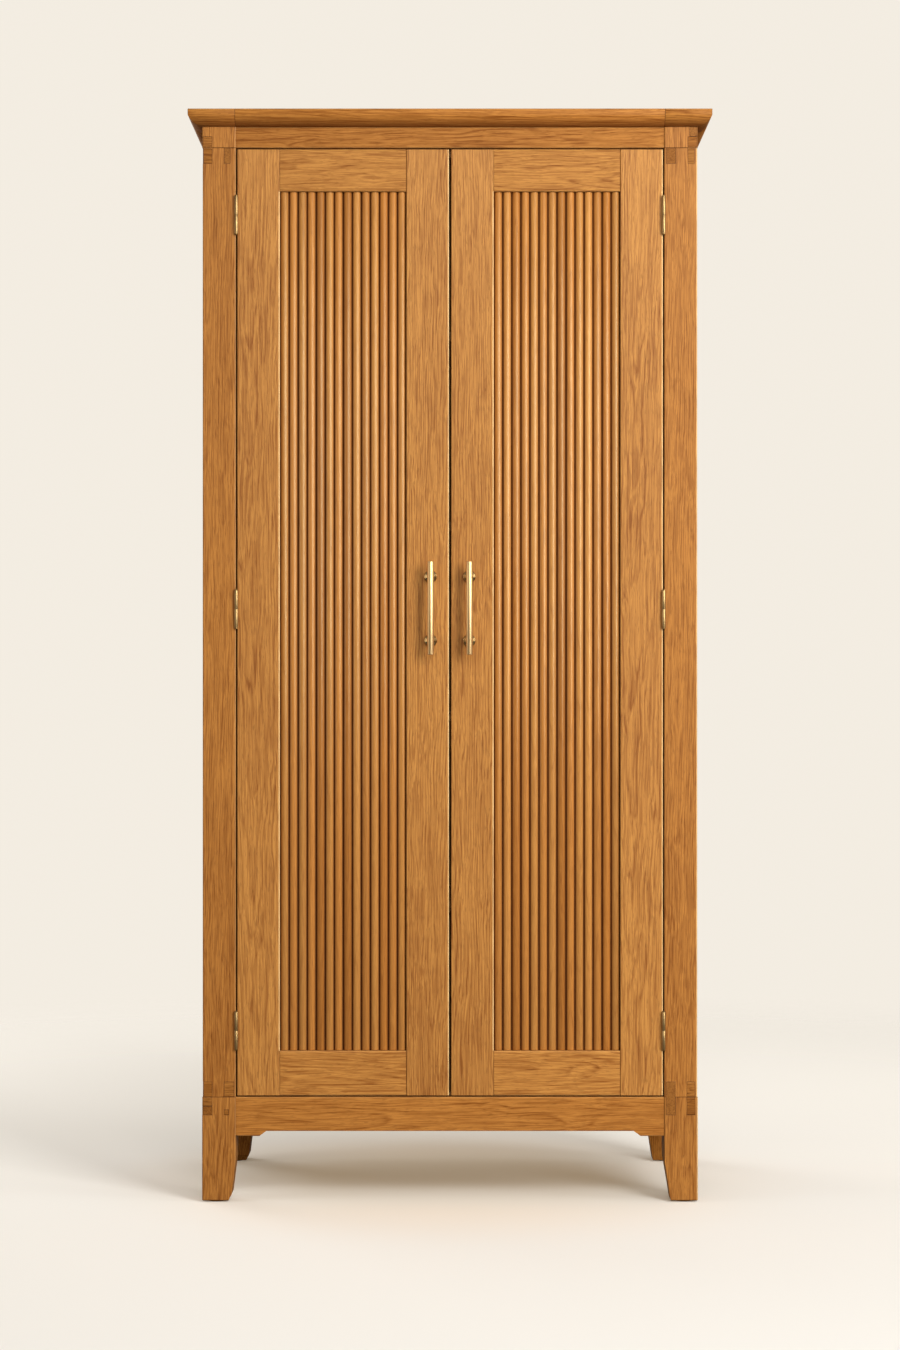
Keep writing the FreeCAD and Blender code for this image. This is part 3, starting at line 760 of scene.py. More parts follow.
@dataclass(frozen=True)
class MouldedPlastic:
    """Brown moulded plastic with a fine spark texture."""

    name: str
    brown: Colour = (0.105, 0.050, 0.022)
    dusty: Colour = (0.190, 0.112, 0.066)

    def material(self) -> bpy.types.Material:
        """Lay out the plastic's nodes.

        Returns:
            The material.
        """
        bench = Bench(self.name)
        place = bench.place()
        spark = bench.noise(place, (1900.0, 1900.0, 1900.0), 2.0)
        dust = bench.noise(place, (120.0, 120.0, 120.0), 3.0).eased(0.45, 0.75)
        colour = bench.blend(dust * 0.35, self.brown, self.dusty)
        return bench.shade({
            "Base Color": colour,
            "Roughness": spark * 0.20 + 0.42,
            "Normal": bench.relief(spark, 0.25, 0.06 * MM),
        })


@dataclass(frozen=True)
class Felt:
    """Dense dark felt, matted and a little dusty."""

    name: str
    deep: Colour = (0.020, 0.013, 0.009)
    fluff: Colour = (0.085, 0.060, 0.042)
    dust: Colour = (0.110, 0.086, 0.064)

    def material(self) -> bpy.types.Material:
        """Lay out the felt's nodes.

        Returns:
            The material.
        """
        bench = Bench(self.name)
        place = bench.place()
        fibres = bench.noise(place, (2600.0, 2600.0, 1500.0), 3.0, 0.7)
        matted = bench.noise(place, (260.0, 260.0, 260.0), 2.0)
        colour = bench.blend(fibres.eased(0.30, 0.75), self.deep, self.fluff)
        return bench.shade({
            "Base Color": bench.blend(matted * 0.3, colour, self.dust),
            "Roughness": matted * 0.08 + 0.90,
            "Normal": bench.relief(fibres, 0.60, 0.30 * MM),
            "Sheen Weight": 0.25,
        })


@dataclass(frozen=True)
class DarkLine:
    """Oil and dust gathered in the narrow line round an inlaid key."""

    name: str
    deep: Colour = (0.070, 0.022, 0.005)
    dry: Colour = (0.150, 0.050, 0.012)

    def material(self) -> bpy.types.Material:
        """Lay out the line's nodes.

        Returns:
            The material.
        """
        bench = Bench(self.name)
        grit = bench.noise(bench.place(), (700.0, 700.0, 700.0), 3.0)
        return bench.shade({
            "Base Color": bench.blend(grit.eased(0.30, 0.70), self.deep, self.dry),
            "Specular IOR Level": 0.15,
            "Roughness": grit * 0.20 + 0.55,
            "Normal": bench.relief(grit, 0.20, 0.10 * MM),
        })


# --- modelling moves ---------------------------------------------------------------------------------------
Test = Callable[[Vector, Vector], bool]


class Workshop:
    """Modelling moves shared by all the pieces."""

    EASING_STEPS = 2
    SMOOTH_ANGLE = math.radians(30.0)

    @staticmethod
    def _take(*pieces: bpy.types.Object) -> None:
        """Select these pieces alone and make the first the active one.

        Args:
            pieces: the pieces.
        """
        bpy.ops.object.select_all(action="DESELECT")
        for piece in pieces:
            piece.select_set(True)
        bpy.context.view_layer.objects.active = pieces[0]

    @staticmethod
    def _settled(name: str) -> bpy.types.Object:
        """Name the object just added and put its place into its mesh.

        Args:
            name: name of the piece.

        Returns:
            The piece.
        """
        piece = bpy.context.active_object
        piece.name = piece.data.name = name
        bpy.ops.object.transform_apply(location=True, rotation=True, scale=True)
        return piece

    @classmethod
    def block(cls, name: str, low: Point, high: Point) -> bpy.types.Object:
        """Add a block to be shaped.

        Args:
            name: name of the piece.
            low: its lowest corner.
            high: its highest corner.

        Returns:
            The block.
        """
        size = [b - a for a, b in zip(low, high)]
        middle = [(a + b) / 2 for a, b in zip(low, high)]
        bpy.ops.mesh.primitive_cube_add(size=1.0, location=middle, scale=size)
        return cls._settled(name)

    @classmethod
    def rod(cls, name: str, radius: float, foot: Point, length: float, corners: int) -> bpy.types.Object:
        """Add an upright rod to be shaped.

        Args:
            name: name of the piece.
            radius: its radius.
            foot: middle of its lower end.
            length: its length.
            corners: number of its sides.

        Returns:
            The rod.
        """
        middle = (foot[0], foot[1], foot[2] + length / 2)
        bpy.ops.mesh.primitive_cylinder_add(vertices=corners, radius=radius, depth=length, location=middle)
        return cls._settled(name)

    @classmethod
    def turned(
        cls, name: str, profile: Sequence[tuple[float, float]], foot: Point, tip: Point, corners: int,
    ) -> bpy.types.Object:
        """Turn a piece as on a lathe, ring after ring from its foot.

        Args:
            name: name of the piece.
            profile: (distance, radius) pairs.
            foot: where distance 0 lies.
            tip: direction of the turning axis.
            corners: number of sides.

        Returns:
            The turned piece.
        """
        (start, radius), *rest = profile
        bpy.ops.mesh.primitive_circle_add(
            vertices=corners, radius=radius, fill_type="NGON", location=(0.0, 0.0, start),
        )
        piece = cls._settled(name)
        bpy.ops.object.mode_set(mode="EDIT")
        bpy.ops.mesh.select_all(action="SELECT")
        for distance, next_radius in rest:
            bpy.ops.mesh.extrude_region_move(TRANSFORM_OT_translate={"value": (0.0, 0.0, distance - start)})
            share = next_radius / radius
            bpy.ops.transform.resize(value=(share, share, 1.0), center_override=(0.0, 0.0, distance))
            start, radius = distance, next_radius
        cls.close_mesh()
        piece.rotation_euler = Vector(tip).to_track_quat("Z", "Y").to_euler()
        piece.location = foot
        bpy.ops.object.transform_apply(location=True, rotation=True, scale=True)
        return piece

    @staticmethod
    def close_mesh() -> None:
        """Turn all faces outwards and leave edit mode."""
        bpy.ops.mesh.select_all(action="SELECT")
        bpy.ops.mesh.normals_make_consistent(inside=False)
        bpy.ops.object.mode_set(mode="OBJECT")

    @classmethod
    def pick(cls, piece: bpy.types.Object, kind: Element, test: Test) -> None:
        """Enter edit mode with only the edges or faces that pass a test selected.

        Args:
            piece: the piece.
            kind: edges or faces.
            test: asks the middle and the direction of an edge, or the middle and the normal of a face.
        """
        cls._take(piece)
        bpy.ops.object.mode_set(mode="EDIT")
        bpy.ops.mesh.select_mode(type=kind.value)
        bpy.ops.mesh.select_all(action="DESELECT")
        shape = bmesh.from_edit_mesh(piece.data)
        if kind is Element.EDGE:
            for edge in shape.edges:
                start, end = (vertex.co for vertex in edge.verts)
                edge.select_set(test((start + end) / 2, (end - start).normalized()))
        else:
            for face in shape.faces:
                face.select_set(test(face.calc_center_median(), face.normal))
        shape.select_flush_mode()
        bmesh.update_edit_mesh(piece.data)

    @classmethod
    def round_edges(
        cls, piece: bpy.types.Object, test: Test, width: float, steps: int = 3, fullness: float = 0.5,
    ) -> None:
        """Bevel chosen edges.

        Args:
            piece: the piece.
            test: chooses the edges.
            width: how far the bevel reaches.
            steps: its segments.
            fullness: shape of its profile, 0.5 for round.
        """
        cls.pick(piece, Element.EDGE, test)
        bpy.ops.mesh.bevel(
            offset_type="OFFSET", offset=width, segments=steps, profile=fullness, affect="EDGES",
            clamp_overlap=False,
        )
        bpy.ops.object.mode_set(mode="OBJECT")

    @classmethod
    def ease_all(cls, piece: bpy.types.Object, width: float, angle: float = 35.0) -> None:
        """Take the sharpness off every edge steeper than an angle.

        Args:
            piece: the piece.
            width: how far the easing reaches.
            angle: smallest angle that is eased, in degrees.
        """
        bpy.context.view_layer.objects.active = piece
        easing = piece.modifiers.new("easing", "BEVEL")
        easing.width, easing.segments = width, cls.EASING_STEPS
        easing.limit_method, easing.angle_limit = "ANGLE", math.radians(angle)
        bpy.ops.object.modifier_apply(modifier=easing.name)

    @classmethod
    def cut(cls, piece: bpy.types.Object, low: Point, high: Point) -> None:
        """Cut a block out of a piece.

        Args:
            piece: the piece.
            low: lowest corner of the block.
            high: its highest corner.
        """
        cutter = cls.block("cutter", low, high)
        bpy.context.view_layer.objects.active = piece
        cutting = piece.modifiers.new("cutting", "BOOLEAN")
        cutting.operation, cutting.solver, cutting.object = "DIFFERENCE", "EXACT", cutter
        bpy.ops.object.modifier_apply(modifier=cutting.name)
        bpy.data.objects.remove(cutter)

    @classmethod
    def copy(cls, piece: bpy.types.Object, name: str, shift: Point) -> bpy.types.Object:
        """Copy a piece, mesh and all, to another place.

        Args:
            piece: the piece.
            name: name of the copy.
            shift: how far the copy is moved.

        Returns:
            The copy.
        """
        cls._take(piece)
        bpy.ops.object.duplicate(linked=False)
        twin = bpy.context.active_object
        twin.name = twin.data.name = name
        twin.location = shift
        bpy.ops.object.transform_apply(location=True, rotation=False, scale=False)
        return twin

    @classmethod
    def join(cls, name: str, pieces: Sequence[bpy.types.Object]) -> bpy.types.Object:
        """Join pieces into one.

        Args:
            name: name of the whole.
            pieces: the pieces.

        Returns:
            The whole.
        """
        cls._take(*pieces)
        bpy.ops.object.join()
        whole = bpy.context.active_object
        whole.name = whole.data.name = name
        return whole

    @classmethod
    def smooth(cls, piece: bpy.types.Object) -> None:
        """Shade a piece smooth, with its steeper edges left sharp."""
        cls._take(piece)
        bpy.ops.object.shade_smooth_by_angle(angle=cls.SMOOTH_ANGLE)


@dataclass
class Assembly:
    """A sub-assembly of the press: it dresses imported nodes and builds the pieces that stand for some."""

    body: str = "case"
    shown: list[str] = field(default_factory=list, init=False)

    def dress(self, node: str, finish: object) -> None:
        """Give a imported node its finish.

        Args:
            node: name of the node.
            finish: the finish.
        """
        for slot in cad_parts[node].material_slots:
            slot.material = finish.material()
        self.shown.append(node)

    def board(
        self, node: str, grain: Grain, tint: Tint, depth: float, cut: Cut, span: Span | None = None,
        **looks: object,
    ) -> None:
        """Give a packed board its oak.

        Args:
            node: name of the node.
            grain: direction of its grain.
            tint: its tint.
            depth: depth of its tone.
            cut: how it was sawn.
            span: the box that it shows, where that isn't the node's own.
            looks: other fields of the oak.
        """
        self.dress(node, Oak(node, span or Span.of_node(node), grain, tint, depth, cut, **looks))

    def seat(self, piece: bpy.types.Object, slot: str, *nodes: str) -> None:
        """Let a finished piece stand for nodes and move with the body.

        Args:
            piece: the piece.
            slot: name of a material slot; not used.
            nodes: the nodes it stands for.
        """
        Workshop.smooth(piece)
        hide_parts(*nodes)
        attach(piece, self.body)
        self.shown.append(piece.name)


# --- carcase ---------------------------------------------------------------------------------------------
@dataclass
class Carcase(Assembly):
    """Feet, posts, cap blocks, back legs, rails, side panels and the boards inside."""

    rail_shoulder: float = 180.5 * MM
    back_strips: Strips = Strips(0, -410.0 * MM, 102.5 * MM)
    side_strips: Strips = Strips(1, -188.5 * MM, 98.5 * MM)
    shelf_strips: Strips = Strips(1, -224.0 * MM, 112.0 * MM)
    shelves: int = 4

    def build(self) -> None:
        """Dress every board of the carcase."""
        self._dress_uprights()
        self._dress_rails()
        self._dress_sides()
        self._dress_inside()
        self.dress("foot_glides", Felt("glide_felt"))
        self.dress("magnetic_catches", MouldedPlastic("catch_plastic"))

    def _dress_uprights(self) -> None:
        """Dress feet, posts, cap blocks and back legs, whose grain runs upright."""
        parts = (("foot", 0.90, Cut.FLAT), ("post", 0.92, Cut.RIFT), ("cap_block", 0.94, Cut.QUARTER))
        # The right-hand uprights get much paler arrises than the left: painted highlight where the light
        # falls.
        for side, worn in ((Side.LEFT, 0.12), (Side.RIGHT, 0.65)):
            for part, depth, cut in parts:
                node = f"front_{side.label}_{part}"
                self.board(node, Grain.UPRIGHT, Tint.AMBER, depth, cut, worn=worn, gloss=0.20)
            self.board(f"back_{side.label}_leg", Grain.UPRIGHT, Tint.RUSSET, 0.82, Cut.RIFT, gloss=0.08)

    def _dress_rails(self) -> None:
        """Dress the rails between the uprights."""
        for node, depth in (
            # The front top rail, under the cornice, is toned darker: painted shade from the cornice above.
            ("front_bottom_rail", 0.97), ("front_top_rail", 0.90),
            ("back_bottom_rail", 0.92), ("back_top_rail", 0.94),
        ):
            span = Span.of_node(node, {0: POST_INNER})
            self.board(node, Grain.ACROSS, Tint.AMBER, depth, Cut.FLAT, span, worn=0.1, gloss=0.10)
        for side in Side:
            for level in ("bottom", "top"):
                node = f"{side.label}_{level}_rail"
                span = Span.of_node(node, {1: self.rail_shoulder})
                self.board(node, Grain.DEPTHWISE, Tint.AMBER, 0.96, Cut.RIFT, span)

    def _dress_sides(self) -> None:
        """Dress the side panels, glued up from narrow boards."""
        for side in Side:
            node = f"{side.label}_side_panel"
            self.board(node, Grain.UPRIGHT, Tint.HONEY, 0.96, Cut.FLAT, strips=self.side_strips)

    def _dress_inside(self) -> None:
        """Dress back boards, bottom, shelves, bearers, door stop and top board."""
        self.board("back_boards", Grain.UPRIGHT, Tint.PLAIN, 0.96, Cut.FLAT, strips=self.back_strips)
        for node in ["bottom_board", "top_board"] + [f"shelf_{i}" for i in range(1, self.shelves + 1)]:
            self.board(node, Grain.ACROSS, Tint.PLAIN, 0.97, Cut.FLAT, strips=self.shelf_strips)
        for node, grain in (("shelf_bearers", Grain.DEPTHWISE), ("door_stop", Grain.ACROSS)):
            self.board(node, grain, Tint.PLAIN, 0.94, Cut.RIFT)


@dataclass(frozen=True)
class KeyPlace:
    """Where one splice key lies, in millimetres from the middle and above the floor."""

    side: Side
    inner: float
    outer: float
    low: float
    high: float
    round_corner: bool


@dataclass
class SpliceKeys(Assembly):
    """Keys of end-grain oak let in across the splices of the front posts."""

    let_in: float = 0.3 * MM
    post_reveal: float = 1.0 * MM
    sink: float = 7.0 * MM
    fit: float = 0.15 * MM
    line: float = 0.65 * MM
    corner: float = 1.3 * MM

    def places(self) -> list[KeyPlace]:
        """List the fifteen keys, round the splices at the bottom and the top of the door opening.

        Returns:
            Where the keys lie.
        """
        low, high = (level / MM for level in OPENING)
        left, right = Side.LEFT, Side.RIGHT
        return [
            KeyPlace(left, 446, 465, high + 1.6, high + 21, True),
            KeyPlace(left, 446, 465, high - 30, high - 1.6, True),
            KeyPlace(left, 412, 424, high - 30, high, False),
            KeyPlace(left, 446, 465, low, low + 29, True),
            KeyPlace(left, 446, 465, low - 17, low, True),
            KeyPlace(left, 446, 465, low - 34, low - 17, True),
            KeyPlace(left, 405, 424, low, low + 29, False),
            KeyPlace(left, 415, 424, low - 34, low - 23, False),
            KeyPlace(right, 449, 465, high + 21, CORNICE_LOW / MM, True),
            KeyPlace(right, 446, 465, high + 1.6, high + 21, True),
            KeyPlace(right, 446, 459, high - 30, high - 1.6, False),
            KeyPlace(right, 405, 424, high - 30, high, False),
            KeyPlace(right, 444, 460, low, low + 29, False),
            KeyPlace(right, 444, 460, low - 34, low, False),
            KeyPlace(right, 405, 423, low - 34, low + 29, False),
        ]

    def build(self) -> None:
        """Build the keys as one piece that stands for their node."""
        line = DarkLine("key_line").material()
        keys = []
        for number, place in enumerate(self.places(), start=1):
            key = self._key(f"key_{number}", place)
            self._finish_key(key, place, number, line)
            keys.append(key)
        self.seat(Workshop.join("splice_keys", keys), "oak_end_grain", "corner_keys")

    def _key(self, name: str, place: KeyPlace) -> bpy.types.Object:
        """Shape one key.

        Args:
            name: name of the key.
            place: where it lies.

        Returns:
            The key.
        """
        low, high = (level / MM for level in OPENING)
        in_post = low <= place.low and place.high <= high
        reveal = self.let_in + (self.post_reveal if in_post else 0.0)
        outer = HALF_WIDTH - reveal if place.round_corner else place.outer * MM - self.fit
        sink = (place.outer - place.inner) * MM if place.round_corner else self.sink
        x = sorted((place.side.value * (place.inner * MM + self.fit), place.side.value * outer))
        bottom = (x[0], FRONT + reveal, place.low * MM + self.fit)
        top = (x[1], FRONT + sink - self.fit, place.high * MM - self.fit)
        key = Workshop.block(name, bottom, top)
        if place.round_corner:
            edge = Vector((place.side.value * outer, bottom[1]))
            Workshop.round_edges(key, lambda m, d: (m.xy - edge).length < TOUCH, self.corner)
        return key

    def _finish_key(
        self, key: bpy.types.Object, place: KeyPlace, number: int, line: bpy.types.Material,
    ) -> None:
        """Draw the dark line round the showing faces of a key and give it its oak.

        Args:
            key: the key.
            place: where it lies.
            number: its number, which varies the wood.
            line: material of the line.
        """
        grain = Grain.DEPTHWISE if number % 3 == 0 else Grain.ACROSS
        tint = (Tint.RUSSET, Tint.AMBER)[number % 2]
        depth = 0.84 - 0.05 * (number % 3)
        oak = Oak(
            f"key_oak_{number}", self._span(key), grain, tint, depth, Cut.FLAT, 1.6 * MM,
            worn=0.0, joint_dark=0.25, gloss=0.12,
        )
        key.data.materials.append(oak.material())
        key.data.materials.append(line)
        for axis, sign in ((1, -1.0), (0, float(place.side.value))):
            if axis == 0 and not place.round_corner:
                continue
            Workshop.pick(key, Element.FACE, lambda m, n: n[axis] * sign > FACING)
            bpy.ops.mesh.inset(thickness=self.line)
            bpy.ops.mesh.select_all(action="INVERT")
            bpy.ops.object.mode_set(mode="OBJECT")
            for face in key.data.polygons:
                if face.normal[axis] * sign > FACING and self._is_rim(key, face, axis):
                    face.material_index = 1

    @staticmethod
    def _span(key: bpy.types.Object) -> Span:
        """The box of a key."""
        along = list(zip(*(vertex.co for vertex in key.data.vertices)))
        return Span(tuple(min(places) for places in along), tuple(max(places) for places in along))

    def _is_rim(self, key: bpy.types.Object, face: bpy.types.MeshPolygon, axis: int) -> bool:
        """Tell the narrow faces of an inset from the middle one.

        Args:
            key: the key.
            face: one of its faces.
            axis: the axis that the face looks along.

        Returns:
            True for a face of the line.
        """
        widths = []
        for other in (i for i in range(3) if i != axis):
            along = [key.data.vertices[v].co[other] for v in face.vertices]
            widths.append(max(along) - min(along))
        return min(widths) <= self.line * 1.5


@dataclass
class Cornice(Assembly):
    """Cornice in five lengths: an upright fascia over a swelling curve, mitred into its corners.

    Painted shade darkens the curve low down, where shade falls under it, between the two shares of its height
    that are given.
    """

    low: float = CORNICE_LOW
    high: float = 2046.5 * MM
    fascia: float = 10.8 * MM
    toe: float = 3.0 * MM
    reach: float = 25.0 * MM
    fullness: float = 0.391
    curve_steps: int = 14
    arris: float = 1.2 * MM
    easing: float = 0.35 * MM
    easing_angle: float = 50.0
    grime: tuple[float, float] = (0.72, 0.12)
    back: float = 276.5 * MM
    depth: float = 63.0 * MM
    board_half: float = 412.15 * MM
    board_front: float = -190.65 * MM
    board_low: float = 2034.35 * MM
    margin: float = 50.0 * MM

    def build(self) -> None:
        """Build the five lengths."""
        nose, shoulder = FRONT - self.reach, FRONT + self.depth
        outer = HALF_WIDTH + self.reach
        middle = self._length("cornice_middle", (-POST_INNER, nose), (POST_INNER, shoulder), (0, -1))
        self._finish(middle, Grain.ACROSS, 1.0, "cornice_front")
        for side in Side:
            label, sign = side.label, side.value
            x = sorted((sign * POST_INNER, sign * outer))
            corner = self._length(f"cornice_{label}_mitre", (x[0], nose), (x[1], shoulder), (sign, -1))
            self._finish(corner, Grain.ACROSS, 0.93, f"cornice_{label}_corner")
            run = self._length(f"cornice_{label}_run", (x[0], shoulder), (x[1], self.back), (sign, 0))
            self._finish(run, Grain.DEPTHWISE, 0.95, f"cornice_{label}_return")

    def _length(
        self, name: str, low: tuple[float, float], high: tuple[float, float], looks: tuple[int, int],
    ) -> bpy.types.Object:
        """Shape one length of cornice.

        The curve is wider than it is high, so it is bevelled on a block drawn taller and then pressed down.

        Args:
            name: name of the piece.
            low: its lowest x and y.
            high: its highest x and y.
            looks: signs of the x and y directions that carry the moulding, 0 for none.

        Returns:
            The shaped length.
        """
        swell = self.reach - self.toe
        stretch = swell / (self.high - self.low - self.fascia)
        top = self.low + (self.high - self.low) * stretch
        piece = Workshop.block(name, (*low, self.low), (*high, top))
        faces = [(axis, (low if sign < 0 else high)[axis]) for axis, sign in enumerate(looks) if sign]

        def moulded(spot: Vector) -> bool:
            """Tell whether a place is on a moulded face."""
            return any(abs(spot[axis] - place) < TOUCH for axis, place in faces)

        def outer_edge(level: float) -> Test:
            """Choose the edges at a level, on a moulded face."""
            return lambda m, d: abs(m.z - level) < TOUCH and moulded(m)

        Workshop.round_edges(piece, outer_edge(self.low), swell, self.curve_steps, self.fullness)
        bpy.ops.object.mode_set(mode="EDIT")
        bpy.ops.mesh.select_all(action="SELECT")
        press = (1.0, 1.0, 1.0 / stretch)
        bpy.ops.transform.resize(value=press, center_override=(0.0, 0.0, self.low))
        Workshop.close_mesh()
        Workshop.round_edges(piece, outer_edge(self.high), self.arris)
        Workshop.cut(
            piece, (-self.board_half, self.board_front, self.board_low),
            (self.board_half, self.back + self.margin, self.high + self.margin),
        )
        Workshop.ease_all(piece, self.easing, self.easing_angle)
        return piece

    def _finish(self, piece: bpy.types.Object, grain: Grain, depth: float, node: str) -> None:
        """Give a length its oak and seat it.

        Args:
            piece: the length.
            grain: direction of its grain.
            depth: depth of its tone.
            node: the node that it stands for.
        """
        # Painted shade low on the curve, where shade falls under the cornice.
        curve = self.high - self.fascia - self.low
        unshaded, soiled = (self.low + share * curve for share in self.grime)
        oak = Oak(
            piece.name, Span.of_node(node), grain, Tint.AMBER, depth, Cut.FLAT, hollow=(unshaded, soiled),
            hollow_axis=2, soiled=0.45, worn=0.15, gloss=0.10,
        )
        piece.data.materials.clear()
        piece.data.materials.append(oak.material())
        self.seat(piece, "oak", node)


# --- hinges ------------------------------------------------------------------------------------------------
@dataclass
class HingeWork(Assembly):
    """What leaves, pins and screws share: where the hinges are, and the sides that a body has them on."""

    sides: tuple[Side, ...] = (Side.LEFT, Side.RIGHT)
    levels: tuple[float, ...] = (322.0 * MM, 1112.5 * MM, 1851.5 * MM)
    axis_x: float = 400.75 * MM
    axis_y: float = -246.2 * MM
    leaf_air: float = 0.25 * MM

    @property
    def on_case(self) -> bool:
        """Whether this is the case's half of the hinges."""
        return self.body == "case"

    def outward(self, side: Side) -> int:
        """Sign of the x direction from a hinge's axis into the wood of this body."""
        return side.value if self.on_case else -side.value


@dataclass
class HingeLeaves(HingeWork):
    """Leaves of the lift-off hinges on one body: plates let into the wood, and their half of the barrel."""

    brass: Colour = (0.380, 0.250, 0.105)
    barrel: float = 3.5 * MM
    length: float = 69.0 * MM
    corners: int = 40
    knuckles: int = 2
    air: float = 0.2 * MM
    leaf: float = 2.0 * MM
    leaf_front: float = -242.4 * MM
    leaf_back: float = DOOR_BACK
    tie_overlap: float = 1.0 * MM
    leaf_easing: float = 0.25 * MM
    knuckle_easing: float = 0.30 * MM
    knuckle_angle: float = 60.0
    tie_easing: float = 0.20 * MM

    def build(self) -> None:
        """Build the leaves as one piece that stands for their node."""
        node = f"{self.body}_hinge_leaves"
        brass = SatinBrass(f"{node}_brass", colour=self.brass, age=0.08, rough=0.40).material()
        leaves = []
        for side in self.sides:
            first = self._leaf(side)
            first.data.materials.append(brass)
            leaves.append(first)
            for level in self.levels[1:]:
                rise = (0.0, 0.0, level - self.levels[0])
                leaves.append(Workshop.copy(first, f"leaf_{len(leaves)}", rise))
        self.seat(Workshop.join(f"{self.body}_butt_leaves", leaves), "brass", node)

    def _leaf(self, side: Side) -> bpy.types.Object:
        """Shape the lowest leaf of one side.

        Args:
            side: side of the press.

        Returns:
            The leaf.
        """
        outward, centre = self.outward(side), side.value * self.axis_x
        base = self.levels[0] - self.length / 2
        x = sorted((centre + outward * self.leaf_air, centre + outward * (self.leaf_air + self.leaf)))
        front_low = (x[0], self.leaf_front, base)
        back_high = (x[1], self.leaf_back, base + self.length)
        plate = Workshop.block("leaf_plate", front_low, back_high)
        Workshop.ease_all(plate, self.leaf_easing)
        solids = [plate]
        height = (self.length - (self.knuckles - 1) * self.air) / self.knuckles
        for k in range(0 if self.on_case else 1, self.knuckles, 2):
            z = base + k * (height + self.air)
            foot = (centre, self.axis_y, z)
            knuckle = Workshop.rod(f"knuckle_{k}", self.barrel, foot, height, self.corners)
            Workshop.ease_all(knuckle, self.knuckle_easing, self.knuckle_angle)
            inner_high = (x[1], self.leaf_front + self.tie_overlap, z + height)
            tie = Workshop.block(f"tie_{k}", (x[0], self.axis_y, z), inner_high)
            Workshop.ease_all(tie, self.tie_easing)
            solids += [knuckle, tie]
        return Workshop.join("leaf", solids)


@dataclass
class HingePins(HingeWork):
    """Pins of the six hinges, with a domed head beyond each end of the barrel.

    The dome is given in millimetres back from the tip, each with its share of the head's radius.
    """

    brass: Colour = (0.240, 0.148, 0.055)
    half_barrel: float = 34.5 * MM
    head_air: float = 0.1 * MM
    head_radius: float = 3.0 * MM
    head_length: float = 3.0 * MM
    pin_radius: float = 1.9 * MM
    corners: int = 32
    dome: tuple[tuple[float, float], ...] = ((1.2, 1.0), (0.5, 0.86), (0.12, 0.6), (0.0, 0.25))

    def build(self) -> None:
        """Build the pins as one piece that stands for their node."""
        brass = SatinBrass("hinge_pin_brass", colour=self.brass, age=0.20, rough=0.36).material()
        end, tip = self.half_barrel + self.head_air, self.half_barrel + self.head_length
        upper = [(end, self.pin_radius), (end, self.head_radius)]
        upper += [(tip - back * MM, self.head_radius * share) for back, share in self.dome]
        profile = [(-distance, radius) for distance, radius in reversed(upper)] + upper
        middle = (-self.axis_x, self.axis_y, self.levels[0])
        first = Workshop.turned("pin_0", profile, middle, (0, 0, 1), self.corners)
        first.data.materials.append(brass)
        pins = [first]
        for side in Side:
            for level in self.levels:
                shift = ((side.value + 1) * self.axis_x, 0.0, level - self.levels[0])
                if any(shift):
                    pins.append(Workshop.copy(first, f"pin_{len(pins)}", shift))
        self.seat(Workshop.join("butt_pins", pins), "brass", "hinge_pins")


